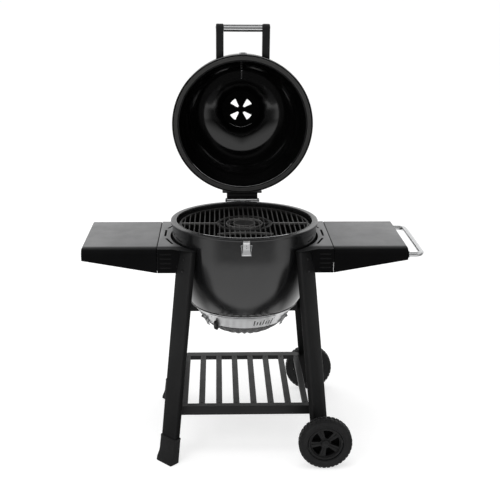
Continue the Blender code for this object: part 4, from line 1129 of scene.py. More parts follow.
def bracket_slot(x0, y0, x1, y1, width, low=-0.01, high=0.01):
    """Round-ended slot through the bracket top; low and high are from the shelf top."""
    ahead = Vector((x1 - x0, y1 - y0)).normalized()
    side = Vector((-ahead.y, ahead.x)) * width / 2
    points = []
    for centre, sign in (((x1, y1), 1), ((x0, y0), -1)):
        for k in range(7):
            turn = pi / 2 - pi * k / 6
            offset = (ahead * cos(turn) * width / 2 + side * sin(turn)) * sign
            points.append(tuple(Vector(centre) + offset))
    return prism(points, 2, SHELF_TOP + low, SHELF_TOP + high)


def bracket_mesh():
    outer_x, low = 0.3281, SHELF_TOP - SKIRT
    bowl_arc = [(0.287 * cos(turn), 0.287 * sin(turn)) for turn in
                (radians(-50.4 + 100.8 * k / 32) for k in range(33))]
    outline = bowl_arc + [(0.1985, 0.2375), (0.272, SHELF_BACK), (outer_x, SHELF_BACK),
                          (outer_x, SHELF_FRONT), (0.272, SHELF_FRONT), (0.1985, -0.2375)]
    top = soften(prism(outline, 2, SHELF_TOP - SHEET, SHELF_TOP), 0.0009, 2, 40)
    high = SHELF_TOP - 0.0004
    parts = [block(outer_x - SHEET, outer_x, SHELF_FRONT + 0.0002, SHELF_BACK - 0.0002,
                   low, high)]
    for end, y in ((-1, SHELF_FRONT), (1, SHELF_BACK)):
        flange = [(skirt_edge(y, low, end), low), (outer_x - 0.0004, low),
                  (outer_x - 0.0004, high), (skirt_edge(y, high, end), high)]
        parts.append(prism(flange, 1, min(y, y - end * SHEET), max(y, y - end * SHEET)))
    lug = fillet([(outer_x - 0.0016, low + 0.006), (outer_x - 0.0016, FOLD_Z - 0.004),
                  (FOLD_X - 0.004, FOLD_Z - 0.0055, 0.003),
                  (FOLD_X + 0.0055, FOLD_Z - 0.0055, 0.0045),
                  (FOLD_X + 0.0055, FOLD_Z + 0.0055, 0.0045),
                  (outer_x - 0.0001, FOLD_Z + 0.0055), (outer_x - 0.0001, low + 0.006)])
    parts += [prism(lug, 1, y - 0.003, y + 0.003) for y in (-0.12, 0.116)]
    # slots: (x0, y0, x1, y1, width)
    slots = ((0.3065, -0.0165, 0.3065, 0.0625, 0.0085), (0.3, -0.056, 0.2745, -0.126, 0.0085),
             (0.2989, 0.094, 0.276, 0.145, 0.0075))
    return cut(union(top, *parts), *[bracket_slot(*slot) for slot in slots], fold_hole())


def slot_shade_pans():
    """Painted shade: dark pans under the bracket slots, standing in for the shade seen through
    them: (x0, y0, x1, y1).
    """
    runs = ((0.3065, -0.0205, 0.3065, 0.0665), (0.3012, -0.0525, 0.2731, -0.1297),
            (0.3003, 0.09, 0.2747, 0.1488))
    return joined(*[bracket_slot(*run, 0.0145, -0.0062, -0.0048) for run in runs])


def louvre(z):
    """A pressed rib with rounded ends, standing off the bracket's front face."""
    x0, x1, height, out = 0.2745, 0.32, 0.0062, 0.0024
    rows = []
    for k in range(15):
        along_rib = -1 + 2 * k / 14
        x = (x0 + x1) / 2 + (x1 - x0) / 2 * along_rib
        swell = max(0.02, (1 - abs(along_rib) ** 6)) ** 0.5
        row = []
        for j in range(9):
            turn = pi * j / 8
            row.append((x, SHELF_FRONT - out * swell * sin(turn) + 0.0006,
                        z + height / 2 * swell * cos(turn)))
        row += [(x, SHELF_FRONT + 0.0009, z - height / 2 * swell),
                (x, SHELF_FRONT + 0.0009, z + height / 2 * swell)]
        rows.append(row)
    return loft(rows)


def build_shelves():
    for side, word in SIDES:
        piece(f"shelf_bracket_{word}", sided(bracket_mesh(), side), SHELF,
              f"bracket_{word}", smooth=30)
        # painted shade: near-black pans seen through the bracket slots
        piece(f"bracket_slot_backing_{word}", sided(slot_shade_pans(), side), SHADE_BLACK,
              smooth=30)
        louvres = joined(*[louvre(0.8 - 0.0175 * k) for k in range(4)])
        piece(f"bracket_louvres_{word}", sided(louvres, side), LOUVRE, smooth=60)
        piece(f"side_shelf_{word}", sided(shelf_mesh(), side), SHELF,
              f"shelf_{word}", body=f"{word}_shelf", smooth=30)
        keep(f"fold_pin_{word}", CHROME)


def build_towel_rail():
    """Bent tube off the right shelf's end, with collars where it meets the shelf."""
    rail_x, z, tube = 0.6623, 0.795, 0.0095
    front, back, bend = -0.1905, 0.1805, 0.03
    turns = [radians(90 * k / 14) for k in range(15)]
    path = [(SHELF_END_X + 0.0006, front, z), (SHELF_END_X + 0.012, front, z)]
    path += [(rail_x - bend + bend * sin(turn), front + bend - bend * cos(turn), z)
             for turn in turns]
    path += [(rail_x, front + bend + (back - front - 2 * bend) * k / 12, z)
             for k in range(1, 12)]
    path += [(rail_x - bend + bend * cos(turn), back - bend + bend * sin(turn), z)
             for turn in turns]
    path += [(SHELF_END_X + 0.012, back, z), (SHELF_END_X + 0.0006, back, z)]
    piece("towel_rail", sweep(path, tube, 28), STEEL_Y, "towel_bar",
          body="right_shelf", smooth=50)
    collar = fillet([(tube + 0.0002, 0.0006), (0.0135, 0.0006, 0.001), (0.0128, 0.004, 0.0015),
                     (tube + 0.0002, 0.0048, 0.0006)], 3)
    collars = [along(RIGHT, lathe(collar, 40), (SHELF_END_X, y, z)) for y in (front, back)]
    piece("towel_rail_collars", joined(*collars), CHROME, body="right_shelf")


# ===================================================================== wheels
TYRE_HALF = 0.0225                      # half the tyre's width
LUGS = 36
SPOKES = 5


def tread(angle, radius, z):
    """Push for staggered blocks round the running surface and down the shoulders."""
    if radius < 0.0952:
        return 0, 0
    phase = (angle * LUGS / (2 * pi) + (0.5 if z > 0 else 0.0)) % 1.0
    deep = 0.0026 * min(1.0, (radius - 0.095) / 0.004)
    if abs(z) < 0.0022:
        return -deep, 0
    groove = 1.0 if phase > 0.66 else 0.0
    edge = max(0.0, min(1.0, (phase - 0.60) / 0.06)) * max(0.0, min(1.0, (1.0 - phase) / 0.06))
    return -deep * min(groove, edge), 0


def tyre_mesh():
    # (radius, z from the tyre's side[, corner radius]), from the bead out to the shoulder
    wall = fillet([(radius, inset - TYRE_HALF, corner) for radius, inset, corner in (
        (0.066, 0.0055, 0.002), (0.069, 0.001, 0.002), (0.0715, 0, 0.001), (0.0738, 0, 0.001),
        (0.0752, 0.0016, 0.0008), (0.088, 0.0016, 0.0008), (0.0895, 0.0002, 0.001),
        (0.092, 0.0002, 0.001), (0.0952, 0.002, 0.002))], 2)
    shoulder = [(radius, inset - TYRE_HALF) for radius, inset in (
        (0.0978, 0.0034), (0.1002, 0.0062), (0.1014, 0.01), (WHEEL_R, 0.014))]
    near = wall + shoulder + [(WHEEL_R, -0.003), (WHEEL_R, -0.0024), (WHEEL_R, -0.0016)]
    far = [(radius, -z) for radius, z in near[::-1]]
    return lathe(near + far, LUGS * 10, push=tread)


def hub_mesh(out):
    """Pocketed disc with webs on its outer face; out is the sign of its outward Z."""
    near = [(0.0065, -0.0168), (0.014, -0.0168, 0.0015), (0.0165, -0.012, 0.002),
            (0.0185, -0.01, 0.002), (0.0555, -0.01, 0.0015), (0.0575, -0.015, 0.0015),
            (0.06, -0.0165, 0.0012), (0.0655, -0.0165, 0.001), (0.0655, -0.006),
            (0.0662, -0.004)]
    far = [(radius, -z, *corner) for radius, z, *corner in near[::-1]]
    depth = sorted((-out * 0.0055, out * 0.03))
    pockets = [fan(6 + 72 * k, 0.0205, 0.0535, 15, 23, *depth) for k in range(SPOKES)]
    disc = cut(lathe(fillet(near + far, 3), 120), *pockets)
    depth = sorted((out * 0.009, out * 0.0118))
    web = [(0.0175, -0.0012), (0.056, -0.0022), (0.056, 0.0022), (0.0175, 0.0012)]
    webs = [turned(soften(prism(web, 2, *depth), 0.0007, 2, 50), 42 + 72 * k)
            for k in range(SPOKES)]
    return union(disc, *webs)


def build_wheels():
    for end, word in ENDS:
        out = -end
        place = (Matrix.Translation((WHEEL_X, end * WHEEL_Y, WHEEL_Z))
                 @ Matrix.Rotation(radians(90), 4, "X"))
        body = f"{word}_wheel"
        piece(f"tyre_tread_{word}", moved(tyre_mesh(), place), TYRE,
              f"tyre_{word}", body=body, smooth=34)
        piece(f"wheel_hub_{word}", moved(hub_mesh(out), place), PLASTIC,
              f"hub_{word}", body=body, smooth=32)
        # painted shade: thin near-black floors laid in the hub pockets
        depth = sorted((-out * 0.0058, -out * 0.0051))
        pocket_shade_floors = joined(*[fan(6 + 72 * k, 0.0208, 0.0532, 14.6, 22.7, *depth)
                          for k in range(SPOKES)])
        piece(f"wheel_pocket_shade_floor_{word}", moved(pocket_shade_floors, place), SHADE_BLACK,
              body=body)
        cap = lathe([(0, 0.0206), (0.003, 0.0204), (0.007, 0.0194), (0.0098, 0.0174),
                     (0.0108, 0.0168), (0.0108, 0.016), (0.0066, 0.016), (0.0066, 0.0176),
                     (0, 0.0176)], 40)
        cap = moved(cap, Matrix.Scale(out, 4, UP))
        piece(f"axle_cap_{word}", moved(cap, place), PLASTIC, body=body)

    axle = rod((WHEEL_X, 0, WHEEL_Z), BACK, 0.006, WHEEL_Y + 0.0172, 40)
    piece("wheel_axle", soften(axle, 0.001, 2, 60), CHROME, "axle")
    washer = [(0.0064, -0.0008), (0.012, -0.0008), (0.012, 0.0008), (0.0064, 0.0008)]
    washers = [along(BACK, lathe(washer, 32), (WHEEL_X, end * (WHEEL_Y - 0.0185), WHEEL_Z))
               for end in (-1, 1)]
    piece("axle_washers", joined(*washers), CHROME)


# ===================================================================== cooking grates
GRATE_LOW, GRATE_TOP = 0.8574, 0.868
BAR_PITCH = 0.0192


def grate_bar(x, y0, y1, z0, z1, width=0.0049):
    """Bar along Y with a crowned top and drafted sides."""
    foot, half = 0.0036 / 2, width / 2
    section = [(-foot, z0), (foot, z0), (half, z1 - 0.0022), (half - 0.0006, z1 - 0.0008),
               (half - 0.0017, z1), (-half + 0.0017, z1), (-half + 0.0006, z1 - 0.0008),
               (-half, z1 - 0.0022)]
    return loft([[(x + across, y, z) for across, z in section] for y in (y0, y1)])


def cross_bar(x0, x1, z0, z1, width):
    """Bar along X through the middle."""
    return turned(grate_bar(0, x0, x1, z0, z1, width), -90)


def ring_bar(inner, outer, z0, z1, steps=96):
    crown = 0.001
    step = crown * 0.3
    return lathe([(inner + 0.0004, z0), (outer - 0.0004, z0), (outer, z1 - crown),
                  (outer - step, z1 - step), (outer - crown, z1), (inner + crown, z1),
                  (inner + step, z1 - step), (inner, z1 - crown)], steps)


def bowed_rib():
    """Rib bowed across the front of the grate."""
    path = []
    for k in range(25):
        across = -1 + 2 * k / 24
        path.append((0.104 * across, -0.1335 - 0.02 * across * across))
    section = ((-0.0022, GRATE_LOW + 0.0018), (0.0022, GRATE_LOW + 0.0018),
               (0.0026, GRATE_TOP - 0.0012), (0.0012, GRATE_TOP), (-0.0012, GRATE_TOP),
               (-0.0026, GRATE_TOP - 0.0012))
    rows = []
    for k, (x, y) in enumerate(path):
        ahead = (Vector(path[min(k + 1, 24)]) - Vector(path[max(k - 1, 0)])).normalized()
        rows.append([(x - ahead.y * off, y + ahead.x * off, z) for off, z in section])
    return loft(rows)


def build_cooking_grate():
    z0, z1 = GRATE_LOW + 0.001, GRATE_TOP - 0.0006
    bars = []
    for i in range(-12, 13):
        x = i * BAR_PITCH
        reach = sqrt(0.2462 ** 2 - x * x)
        if abs(x) < 0.104:              # stop at the ring round the centre grate
            start = sqrt(0.1054 ** 2 - x * x)
            bars += [grate_bar(x, start, reach, z0, z1), grate_bar(x, -reach, -start, z0, z1)]
        else:
            bars.append(grate_bar(x, -reach, reach, z0, z1))
    hub = ring_bar(0.1025, 0.108, GRATE_LOW + 0.0006, GRATE_TOP - 0.0003)
    grate = union(ring_bar(0.243, 0.25, GRATE_LOW, GRATE_TOP, 144), hub, *bars)
    piece("cooking_grate_cast", grate, IRON, "cooking_grate",
          body="cooking_grate", smooth=32)
    ribs = [cross_bar(x0, x1, GRATE_LOW + 0.0014, GRATE_TOP - 0.0001, 0.0062)
            for x0, x1 in ((0.107, 0.244), (-0.244, -0.107))]
    piece("cooking_grate_cross_ribs", joined(*ribs, bowed_rib()), IRON_RUBBED,
          body="cooking_grate", smooth=32)


def build_center_grate():
    webs = []
    for i in range(-4, 5):
        x = i * BAR_PITCH
        reach = sqrt(0.0985 ** 2 - x * x)
        webs.append(grate_bar(x, -reach, reach, GRATE_LOW + 0.0018, GRATE_TOP - 0.0009))
    webs.append(cross_bar(-0.098, 0.098, GRATE_LOW + 0.0022, GRATE_TOP - 0.0012, 0.007))
    disc = lathe([(0, GRATE_LOW + 0.0012), (0.04, GRATE_LOW + 0.0012), (0.041, GRATE_TOP - 0.002),
                  (0.04, GRATE_TOP - 0.0006), (0.036, GRATE_TOP - 0.0002),
                  (0.02, GRATE_TOP - 0.0001), (0, GRATE_TOP - 0.0001)], 72)
    grate = union(ring_bar(0.096, 0.1015, GRATE_LOW + 0.0006, GRATE_TOP), disc, *webs)
    piece("center_grate_cast", grate, IRON, "center_grate", body="center_grate",
          smooth=32)
    rings = [ring_bar(inner, outer, GRATE_LOW + 0.0014, GRATE_TOP, 72)
             for inner, outer in ((0.068, 0.0712), (0.0408, 0.043))]
    piece("center_grate_rings", joined(*rings), IRON_RUBBED, body="center_grate",
          smooth=32)


# ===================================================================== latch
def build_latch_base():
    base = plate([(-0.0125, 0.8196, 0.002), (0.0125, 0.8196, 0.002), (0.0125, 0.866, 0.004),
                  (-0.0125, 0.866, 0.004)], 1, -0.2815, -0.2795, 0.0004)
    ears = [plate([(-0.2884, 0.819, 0.003), (-0.2808, 0.819), (-0.2808, 0.832),
                   (-0.2884, 0.828, 0.003)], 0, *span, 0.0003)
            for span in ((-0.0172, -0.0157), (0.0157, 0.0172))]
    foot = block(-0.0172, 0.0172, -0.2815, -0.2796, 0.8196, 0.83)
    piece("latch_backplate", union(base, foot, *ears), SATIN, "latch_base")
    spots = [(x, -0.2815, 0.8255) for x in (-0.013, 0.013)]
    piece("latch_rivets", dome_heads(spots, FORWARD, 0.0017, 0.0008, 20), CHROME)


def build_latch_lever():
    front = curve_through([(-0.287, 0.8212), (-0.2872, 0.83), (-0.2868, 0.84),
                           (-0.2869, 0.852), (-0.2872, 0.861)], 4)
    back = [(y + 0.0014, z - 0.0001) for y, z in front[::-1]]
    lever = soften(prism(front + back, 0, -0.0133, 0.0133), 0.0004, 1, 50)
    pivot = rod((0.0, -0.2852, 0.823), RIGHT, 0.0021, 0.0149, 20)
    toe = soft_block(-0.015, 0.015, -0.2884, -0.2852, 0.8206, 0.828, 0.0008, 2)
    wire = ((0.0144, -0.2868, 0.825), (0.0168, -0.287, 0.84), (0.0192, -0.2872, 0.856),
            (0.0194, -0.2873, 0.859), (0.0182, -0.2873, 0.8608), (0.0125, -0.2868, 0.8608))
    wires = [sweep(curve_through([(side * x, y, z) for x, y, z in wire], 5), 0.001, 10)
             for side in (-1, 1)]
    piece("latch_lever_plate", union(lever, pivot, toe), SATIN, "latch_lever",
          body="latch_lever")
    piece("latch_lever_wire", joined(*wires), CHROME, body="latch_lever", smooth=60)


def build_latch_bail():
    strap = soft_block(-0.0118, 0.0118, -0.2892, -0.2881, 0.8462, 0.8628, 0.0004, 1)
    neck = block(-0.0098, 0.0098, -0.2889, -0.2882, 0.862, 0.866)
    cap = soft_block(-0.0122, 0.0122, -0.29, -0.2878, 0.865, 0.8776, 0.0009, 2)
    pivot = rod((0, -0.2888, 0.848), RIGHT, 0.0013, 0.012, 16)
    piece("latch_bail_hook", union(strap, neck, cap, pivot), SATIN, "latch_bail",
          body="latch_bail")
    spots = [(0.0, -0.2892, z) for z in (0.8505, 0.8585)]
    piece("latch_bail_dimples", dome_heads(spots, FORWARD, 0.0013, 0.0006, 16), PLASTIC,
          body="latch_bail")


# ===================================================================== hinge on the bowl
def build_hinge():
    # (y, z, corner radius)
    wing = [(0.2806, 0.842, 0.002), (0.2806, 0.864), (0.288, 0.869, 0.006),
            (0.308, 0.885, 0.006), (0.315, 0.8876, 0.005), (0.3225, 0.8872, 0.006),
            (0.327, 0.882, 0.006), (0.3268, 0.874, 0.006), (0.3212, 0.8694, 0.006),
            (0.305, 0.86, 0.006), (0.294, 0.842, 0.004)]
    ears = [plate(wing, 0, side * 0.0668 - 0.0018, side * 0.0668 + 0.0018, 0.0006, 2)
            for side in (-1, 1)]
    strap = soft_block(-0.071, 0.071, 0.2798, 0.2836, 0.83, 0.864, 0.0009, 2)
    bracket = cut(union(strap, *ears), rod(HINGE, RIGHT, 0.0048, 0.2, 32))
    piece("hinge_bracket", bracket, HINGE_BLACK, "hinge_lower")
    pin = soften(rod(HINGE, RIGHT, 0.0045, 0.0705, 36), 0.0008, 2, 60)
    piece("hinge_pin_rod", pin, CHROME, "hinge_pin")
    head = [(0, 0.0), (0.0074, 0.0), (0.0074, 0.0016), (0.0062, 0.0028), (0.003, 0.0034),
            (0, 0.0036)]
    heads = [along((side, 0, 0), lathe(head, 32), (side * 0.0688, HINGE.y, HINGE.z))
             for side in (-1, 1)]
    piece("hinge_pin_heads", joined(*heads), CHROME)
    bolts = [hex_bolt((x, 0.2836, 0.847), BACK, 0.009, 0.0045) for x in (-0.04, 0.0, 0.04)]
    piece("hinge_bracket_bolts", joined(*bolts), CHROME)


# ===================================================================== lid (laid out closed)
def gauge_hole():
    return rod(GAUGE, GAUGE_OUT, 0.0058, 0.08)


def build_lid_shells():
    # (radius, z): up one face of each shell and down the other
    outside = curve_through([(0.2832, 0.8941), (0.2824, 0.94), (0.2746, 1.0), (0.2569, 1.06),
                             (0.2266, 1.115), (0.1841, 1.16), (0.1335, 1.189),
                             (0.0795, 1.204)], 7)
    inside = curve_through([(0.0795, 1.2021), (0.1327, 1.1872), (0.1826, 1.1586),
                            (0.2251, 1.1136), (0.2551, 1.0594), (0.2728, 0.9996),
                            (0.2806, 0.94), (0.2814, 0.8941)], 7)
    lid_piece("lid_outer_shell", cut(lathe(outside + inside, 192), gauge_hole()), BODY,
              "lid_shell", smooth=50)
    inside = curve_through([(0.264, 0.8941), (0.263, 0.94), (0.256, 1.0), (0.242, 1.055),
                            (0.218, 1.106), (0.18, 1.152), (0.126, 1.1795),
                            (0.0795, 1.189)], 8)
    outside = curve_through([(0.0795, 1.1907), (0.1267, 1.1813), (0.1813, 1.1534),
                             (0.2195, 1.107), (0.2438, 1.0557), (0.258, 1.0003),
                             (0.2649, 0.9402), (0.266, 0.8941)], 8)
    lid_piece("lid_inner_liner", cut(lathe(inside + outside, 192), gauge_hole()), ENAMEL,
              "lid_liner", smooth=50)


def build_lid_rim():
    ring = fillet([(0.2625, 0.8861, 0.001), (0.288, 0.8861, 0.0016), (0.2888, 0.888, 0.001),
                   (0.2888, 0.8925, 0.001), (0.2875, 0.8938, 0.001), (0.2625, 0.8938, 0.001)], 3)
    lid_piece("lid_edge_ring", lathe(ring, 192), LID_RIM, "lid_rim")
    cord = fillet([(0.2668, 0.8858, 0.0006), (0.2668, 0.8829, 0.0014), (0.2812, 0.8829, 0.0014),
                   (0.2812, 0.8858, 0.0006)])
    lid_piece("lid_gasket_cord", lathe(cord, 160), FELT, "lid_gasket")
    bead = oval(0.262, 0.8882, 0.001, 0.0014, 10)
    lip = oval(0.2874, 0.8864, 0.0013, 0.0009, 10)
    # painted highlights: one arc of the liner bead and the front arc of the edge line are in steel
    # for bright lines along the lid's edges; the rest is in the rim's black paint
    # name, section, steps, start, end, material, slot
    for name, section, steps, start, end, material, slot in (
            ("lid_liner_bead", bead, 160, 142, 398, RIM, "rim_paint"),
            ("lid_liner_bead_rear", bead, 80, 38.4, 141.6, STEEL_X, "stainless"),
            ("lid_edge_line", lip, 144, -42, 222, RIM, "rim_paint"),
            ("lid_edge_line_front", lip, 60, 222.4, 317.6, STEEL_DULL, "stainless")):
        lid_piece(name, lathe(section, steps, start, end), material, smooth=60)


def build_handle():
    # (y, z, corner radius)
    outline = [(-0.245, 0.9085), (-0.245, 0.9415), (-0.3775, 0.9425, 0.01),
               (-0.4029, 0.94, 0.013), (-0.4029, 0.91, 0.013), (-0.3775, 0.9075, 0.01)]
    for side, word in SIDES:
        post = plate(outline, 0, *sorted((side * 0.0774, side * 0.1078)), 0.0042, 3, steps=6)
        post = cut(post, lathe([(0, 0.85), (0.2838, 0.85), (0.2838, 0.99), (0, 0.99)], 192))
        lid_piece(f"handle_post_cast_{word}", post, PLASTIC,
                  f"handle_post_{word}")
        bolt = dome_head((side * 0.1075, -0.3892, 0.925), (side, 0, 0), 0.007, 0.0022)
        lid_piece(f"handle_bolt_{word}", bolt, CHROME)
    grip = lathe([(0, -0.0771), (0.0138, -0.0771), (0.0148, -0.0761), (0.0148, 0.0761),
                  (0.0138, 0.0771), (0, 0.0771)], 72)
    lid_piece("handle_grip_tube", along(RIGHT, grip, (0, -0.3862, 0.925)), STEEL_X,
              "handle_bar")


# ===================================================================== gauge on the lid
def digits(text, size, where):
    curve = bpy.data.curves.new("digits", "FONT")
    curve.body = text
    curve.size = size
    curve.align_x = "CENTER"
    curve.align_y = "CENTER"
    curve.extrude = 0.0002
    holder = add_object("digits", curve)
    mesh = take_mesh(holder)
    bpy.data.objects.remove(holder, do_unlink=True)
    bpy.data.curves.remove(curve)
    return moved(mesh, Matrix.Translation(where))


def build_gauge_body():
    probe = lathe([(0, -0.07), (0.0016, -0.0697), (0.003, -0.068), (0.003, -0.0325),
                   (0.004, -0.0315), (0.004, -0.0262), (0.005, -0.0255), (0.005, 0.0),
                   (0, 0.0)], 32)
    gauge_piece("gauge_probe", probe, STEEL_X, "gauge_stem")
    nut = hex_bolt((0, 0, -0.031), UP, 0.013, 0.0055, washer=False)
    gauge_piece("gauge_probe_nut", nut, PLASTIC)
    case = fillet([(0.0, 0.0006), (0.011, 0.0006), (0.011, 0.0045, 0.001),
                   (0.03, 0.0058, 0.001), (0.0312, 0.008, 0.001), (0.0312, 0.0168, 0.0015),
                   (0.0292, 0.0182, 0.0012), (0.0272, 0.017, 0.001), (0.0272, 0.0138),
                   (0.0, 0.0138)], 3)
    gauge_piece("gauge_case", lathe(case, 96), STEEL_X, "gauge_body")


def build_gauge_face():
    zero, step = 135, 10                # degrees: the zero mark, and between ticks
    dial = lathe([(0, 0.0137), (0.027, 0.0137), (0.027, 0.0141), (0, 0.0141)], 96)
    gauge_piece("gauge_dial", dial, DIAL)
    ticks = []
    for k in range(28):
        half, inner = (0.0007, 0.0232) if k % 3 == 0 else (0.0004, 0.0243)
        ticks.append(turned(block(-half, half, inner, 0.0262, 0.01395, 0.01435),
                            zero - step * k))
    gauge_piece("gauge_ticks", joined(*ticks), INK)
    numbers = []
    for k in range(10):
        turn = radians(zero - 3 * step * k)
        spot = (-sin(turn) * 0.0195, cos(turn) * 0.0195, 0.0142)
        numbers.append(digits(str(50 * k), 0.0046, spot))
    gauge_piece("gauge_numbers", joined(*numbers), INK)
    needle = prism([(-0.0018, -0.0065), (0.0018, -0.0065), (0.0012, 0.0), (0.0004, 0.0215),
                    (-0.0004, 0.0215), (-0.0012, 0.0)], 2, 0.0147, 0.0153)
    boss = lathe([(0, 0.0145), (0.0032, 0.0145), (0.0032, 0.0158), (0.0024, 0.0162),
                  (0, 0.0163)], 32)
    gauge_piece("gauge_pointer", turned(joined(needle, boss), zero), RED,
                "gauge_needle", body="gauge_needle")
    lens = lathe([(0, 0.0166), (0.0268, 0.0166), (0.0271, 0.017), (0.0268, 0.0172),
                  (0, 0.0177)], 64)
    gauge_piece("gauge_lens", lens, GLASS)


# ===================================================================== lid vent
def vent_openings(inner, outer, half):
    return [fan(45 + 90 * k, inner, outer, half * 0.75, half, 1.17, 1.22) for k in range(4)]


def build_vent():
    collar = fillet([(0, VENT_Z), (0.056, VENT_Z), (0.0585, VENT_Z - 0.0012, 0.001),
                     (0.07, VENT_Z - 0.0012, 0.001), (0.072, VENT_Z, 0.001),
                     (0.0818, VENT_Z, 0.0006), (0.0818, VENT_Z + 0.0016, 0.0005),
                     (0.0785, VENT_Z + 0.0018), (0.0785, 1.209, 0.0012),
                     (0.0735, 1.209, 0.0012), (0.0735, VENT_Z + 0.004, 0.0012),
                     (0, VENT_Z + 0.004)], 3)
    collar = cut(lathe(collar, 120), *vent_openings(0.0165, 0.053, 18))
    lid_piece("vent_collar", collar, VENT_BLACK, "vent_base")
    fixings = []
    for k in range(4):
        turn = radians(90 * k)
        spot = (0.0655 * cos(turn), 0.0655 * sin(turn), VENT_Z - 0.001)
        fixings.append(hex_bolt(spot, (0, 0, -1), 0.009, 0.0042))
    fixings.append(dome_head((0, 0, VENT_Z), (0, 0, -1), 0.006, 0.0034))
    lid_piece("vent_fasteners", joined(*fixings), VENT_BLACK)
    wire = [(0.0772 * cos(radians(k)), 0.0772 * sin(radians(k)), VENT_Z - 0.0006)
            for k in range(52, 129, 4)]
    lid_piece("vent_seal_wire", sweep(wire, 0.0009, 10), STEEL_X, smooth=60)


def build_vent_damper():
    disc = fillet([(0, VENT_Z + 0.0044), (0.0728, VENT_Z + 0.0044, 0.0004),
                   (0.0728, VENT_Z + 0.0062, 0.0006), (0, VENT_Z + 0.0062)], 3)
    disc = cut(lathe(disc, 120), *vent_openings(0.016, 0.0535, 18.5))
    knob = fillet([(0, VENT_Z + 0.005), (0.006, VENT_Z + 0.005), (0.0066, VENT_Z + 0.015, 0.002),
                   (0.012, VENT_Z + 0.0185, 0.002), (0.0126, VENT_Z + 0.024, 0.002),
                   (0.012, VENT_Z + 0.029, 0.002), (0.0095, VENT_Z + 0.031, 0.0012),
                   (0, VENT_Z + 0.031)], 3)
    ribs = [turned(soft_block(-0.0009, 0.0009, 0.0115, 0.0132, VENT_Z + 0.0192,
                              VENT_Z + 0.0285, 0.0004, 1), 30 * k) for k in range(12)]
    lid_piece("vent_damper_disc", union(disc, lathe(knob, 48), *ribs), LEG,
              "vent_damper", body="vent_damper")


# ===================================================================== strike, hinge on the lid
def build_strike():
    strike = plate([(-0.015, 0.8802, 0.002), (0.015, 0.8802, 0.002), (0.015, 0.914, 0.004),
                    (-0.015, 0.914, 0.004)], 1, -0.2913, -0.2894, 0.0004)
    shelf = soft_block(-0.0085, 0.0085, -0.295, -0.2905, 0.8802, 0.8828, 0.0006, 2)
    hook = soft_block(-0.0085, 0.0085, -0.2965, -0.2947, 0.8802, 0.8868, 0.0006, 2)
    lid_piece("lid_strike_plate", union(strike, shelf, hook), STEEL_DULL,
              "lid_strike")
    spots = [(x, -0.2913, 0.908) for x in (-0.009, 0.009)]
    lid_piece("lid_strike_rivets", dome_heads(spots, FORWARD, 0.0024, 0.0011, 20), CHROME)


def build_lid_hinge():
    half = 0.0645
    web = prism(fillet([(0.2915, 0.9), (0.2915, 0.933), (0.2975, 0.933, 0.004),
                        (0.3275, 0.888, 0.01), (0.3265, 0.879), (0.313, 0.88),
                        (0.3045, 0.896, 0.01)], 5), 0, -half, half)
    flat = plate([(-0.083, 0.895, 0.006), (0.083, 0.895, 0.006), (0.083, 0.942, 0.006),
                  (-0.083, 0.942, 0.006)], 1, 0.29, 0.2925, 0.0006, 2)
    leaf = cut(union(web, flat), rod(HINGE, RIGHT, 0.0066, 0.2, 36))
    lid_piece("hinge_leaf_lid", leaf, HINGE_BLACK, "hinge_upper")
    knuckle = cut(rod(HINGE, RIGHT, 0.0068, half, 48), rod(HINGE, RIGHT, 0.0048, 0.2, 36))
    lid_piece("hinge_knuckle_tube", knuckle, STEEL_X)
    bolts = [hex_bolt((x, 0.2925, 0.92), BACK, 0.009, 0.0042) for x in (-0.074, 0.074)]
    lid_piece("hinge_leaf_bolts", joined(*bolts), CHROME)


# ===================================================================== floor, world, lights
def build_floor():
    material = bpy.data.materials.new("studio_floor")
    material.use_nodes = True
    graph = Graph(material.node_tree)
    noise = graph.node("ShaderNodeTexNoise", {"Scale": 0.6}).outputs[0]
    grey = graph.remap(noise, span=(0.0, 1.0), to=(0.55, 0.60), smooth=False)
    colour = graph.node("ShaderNodeCombineColor", {k: grey for k in range(3)}).outputs[0]
    shader = graph.tree.nodes["Principled BSDF"]
    for name, value in (("Base Color", colour), ("Roughness", 0.9), ("Specular IOR Level", 0.0),
                        ("Emission Color", (1, 1, 1)), ("Emission Strength", 0.62)):
        graph.put(shader.inputs[name], value)
    half, front, back, z = 90.0, -8, 180.0, -0.0002
    mesh = bmesh.new()
    mesh.faces.new([mesh.verts.new(p) for p in ((-half, front, z), (half, front, z),
                                                (half, back, z), (-half, back, z))])
    floor = add_object("studio_floor", bake(mesh, "studio_floor"))
    floor.data.materials.append(material)
    floor.visible_glossy = False


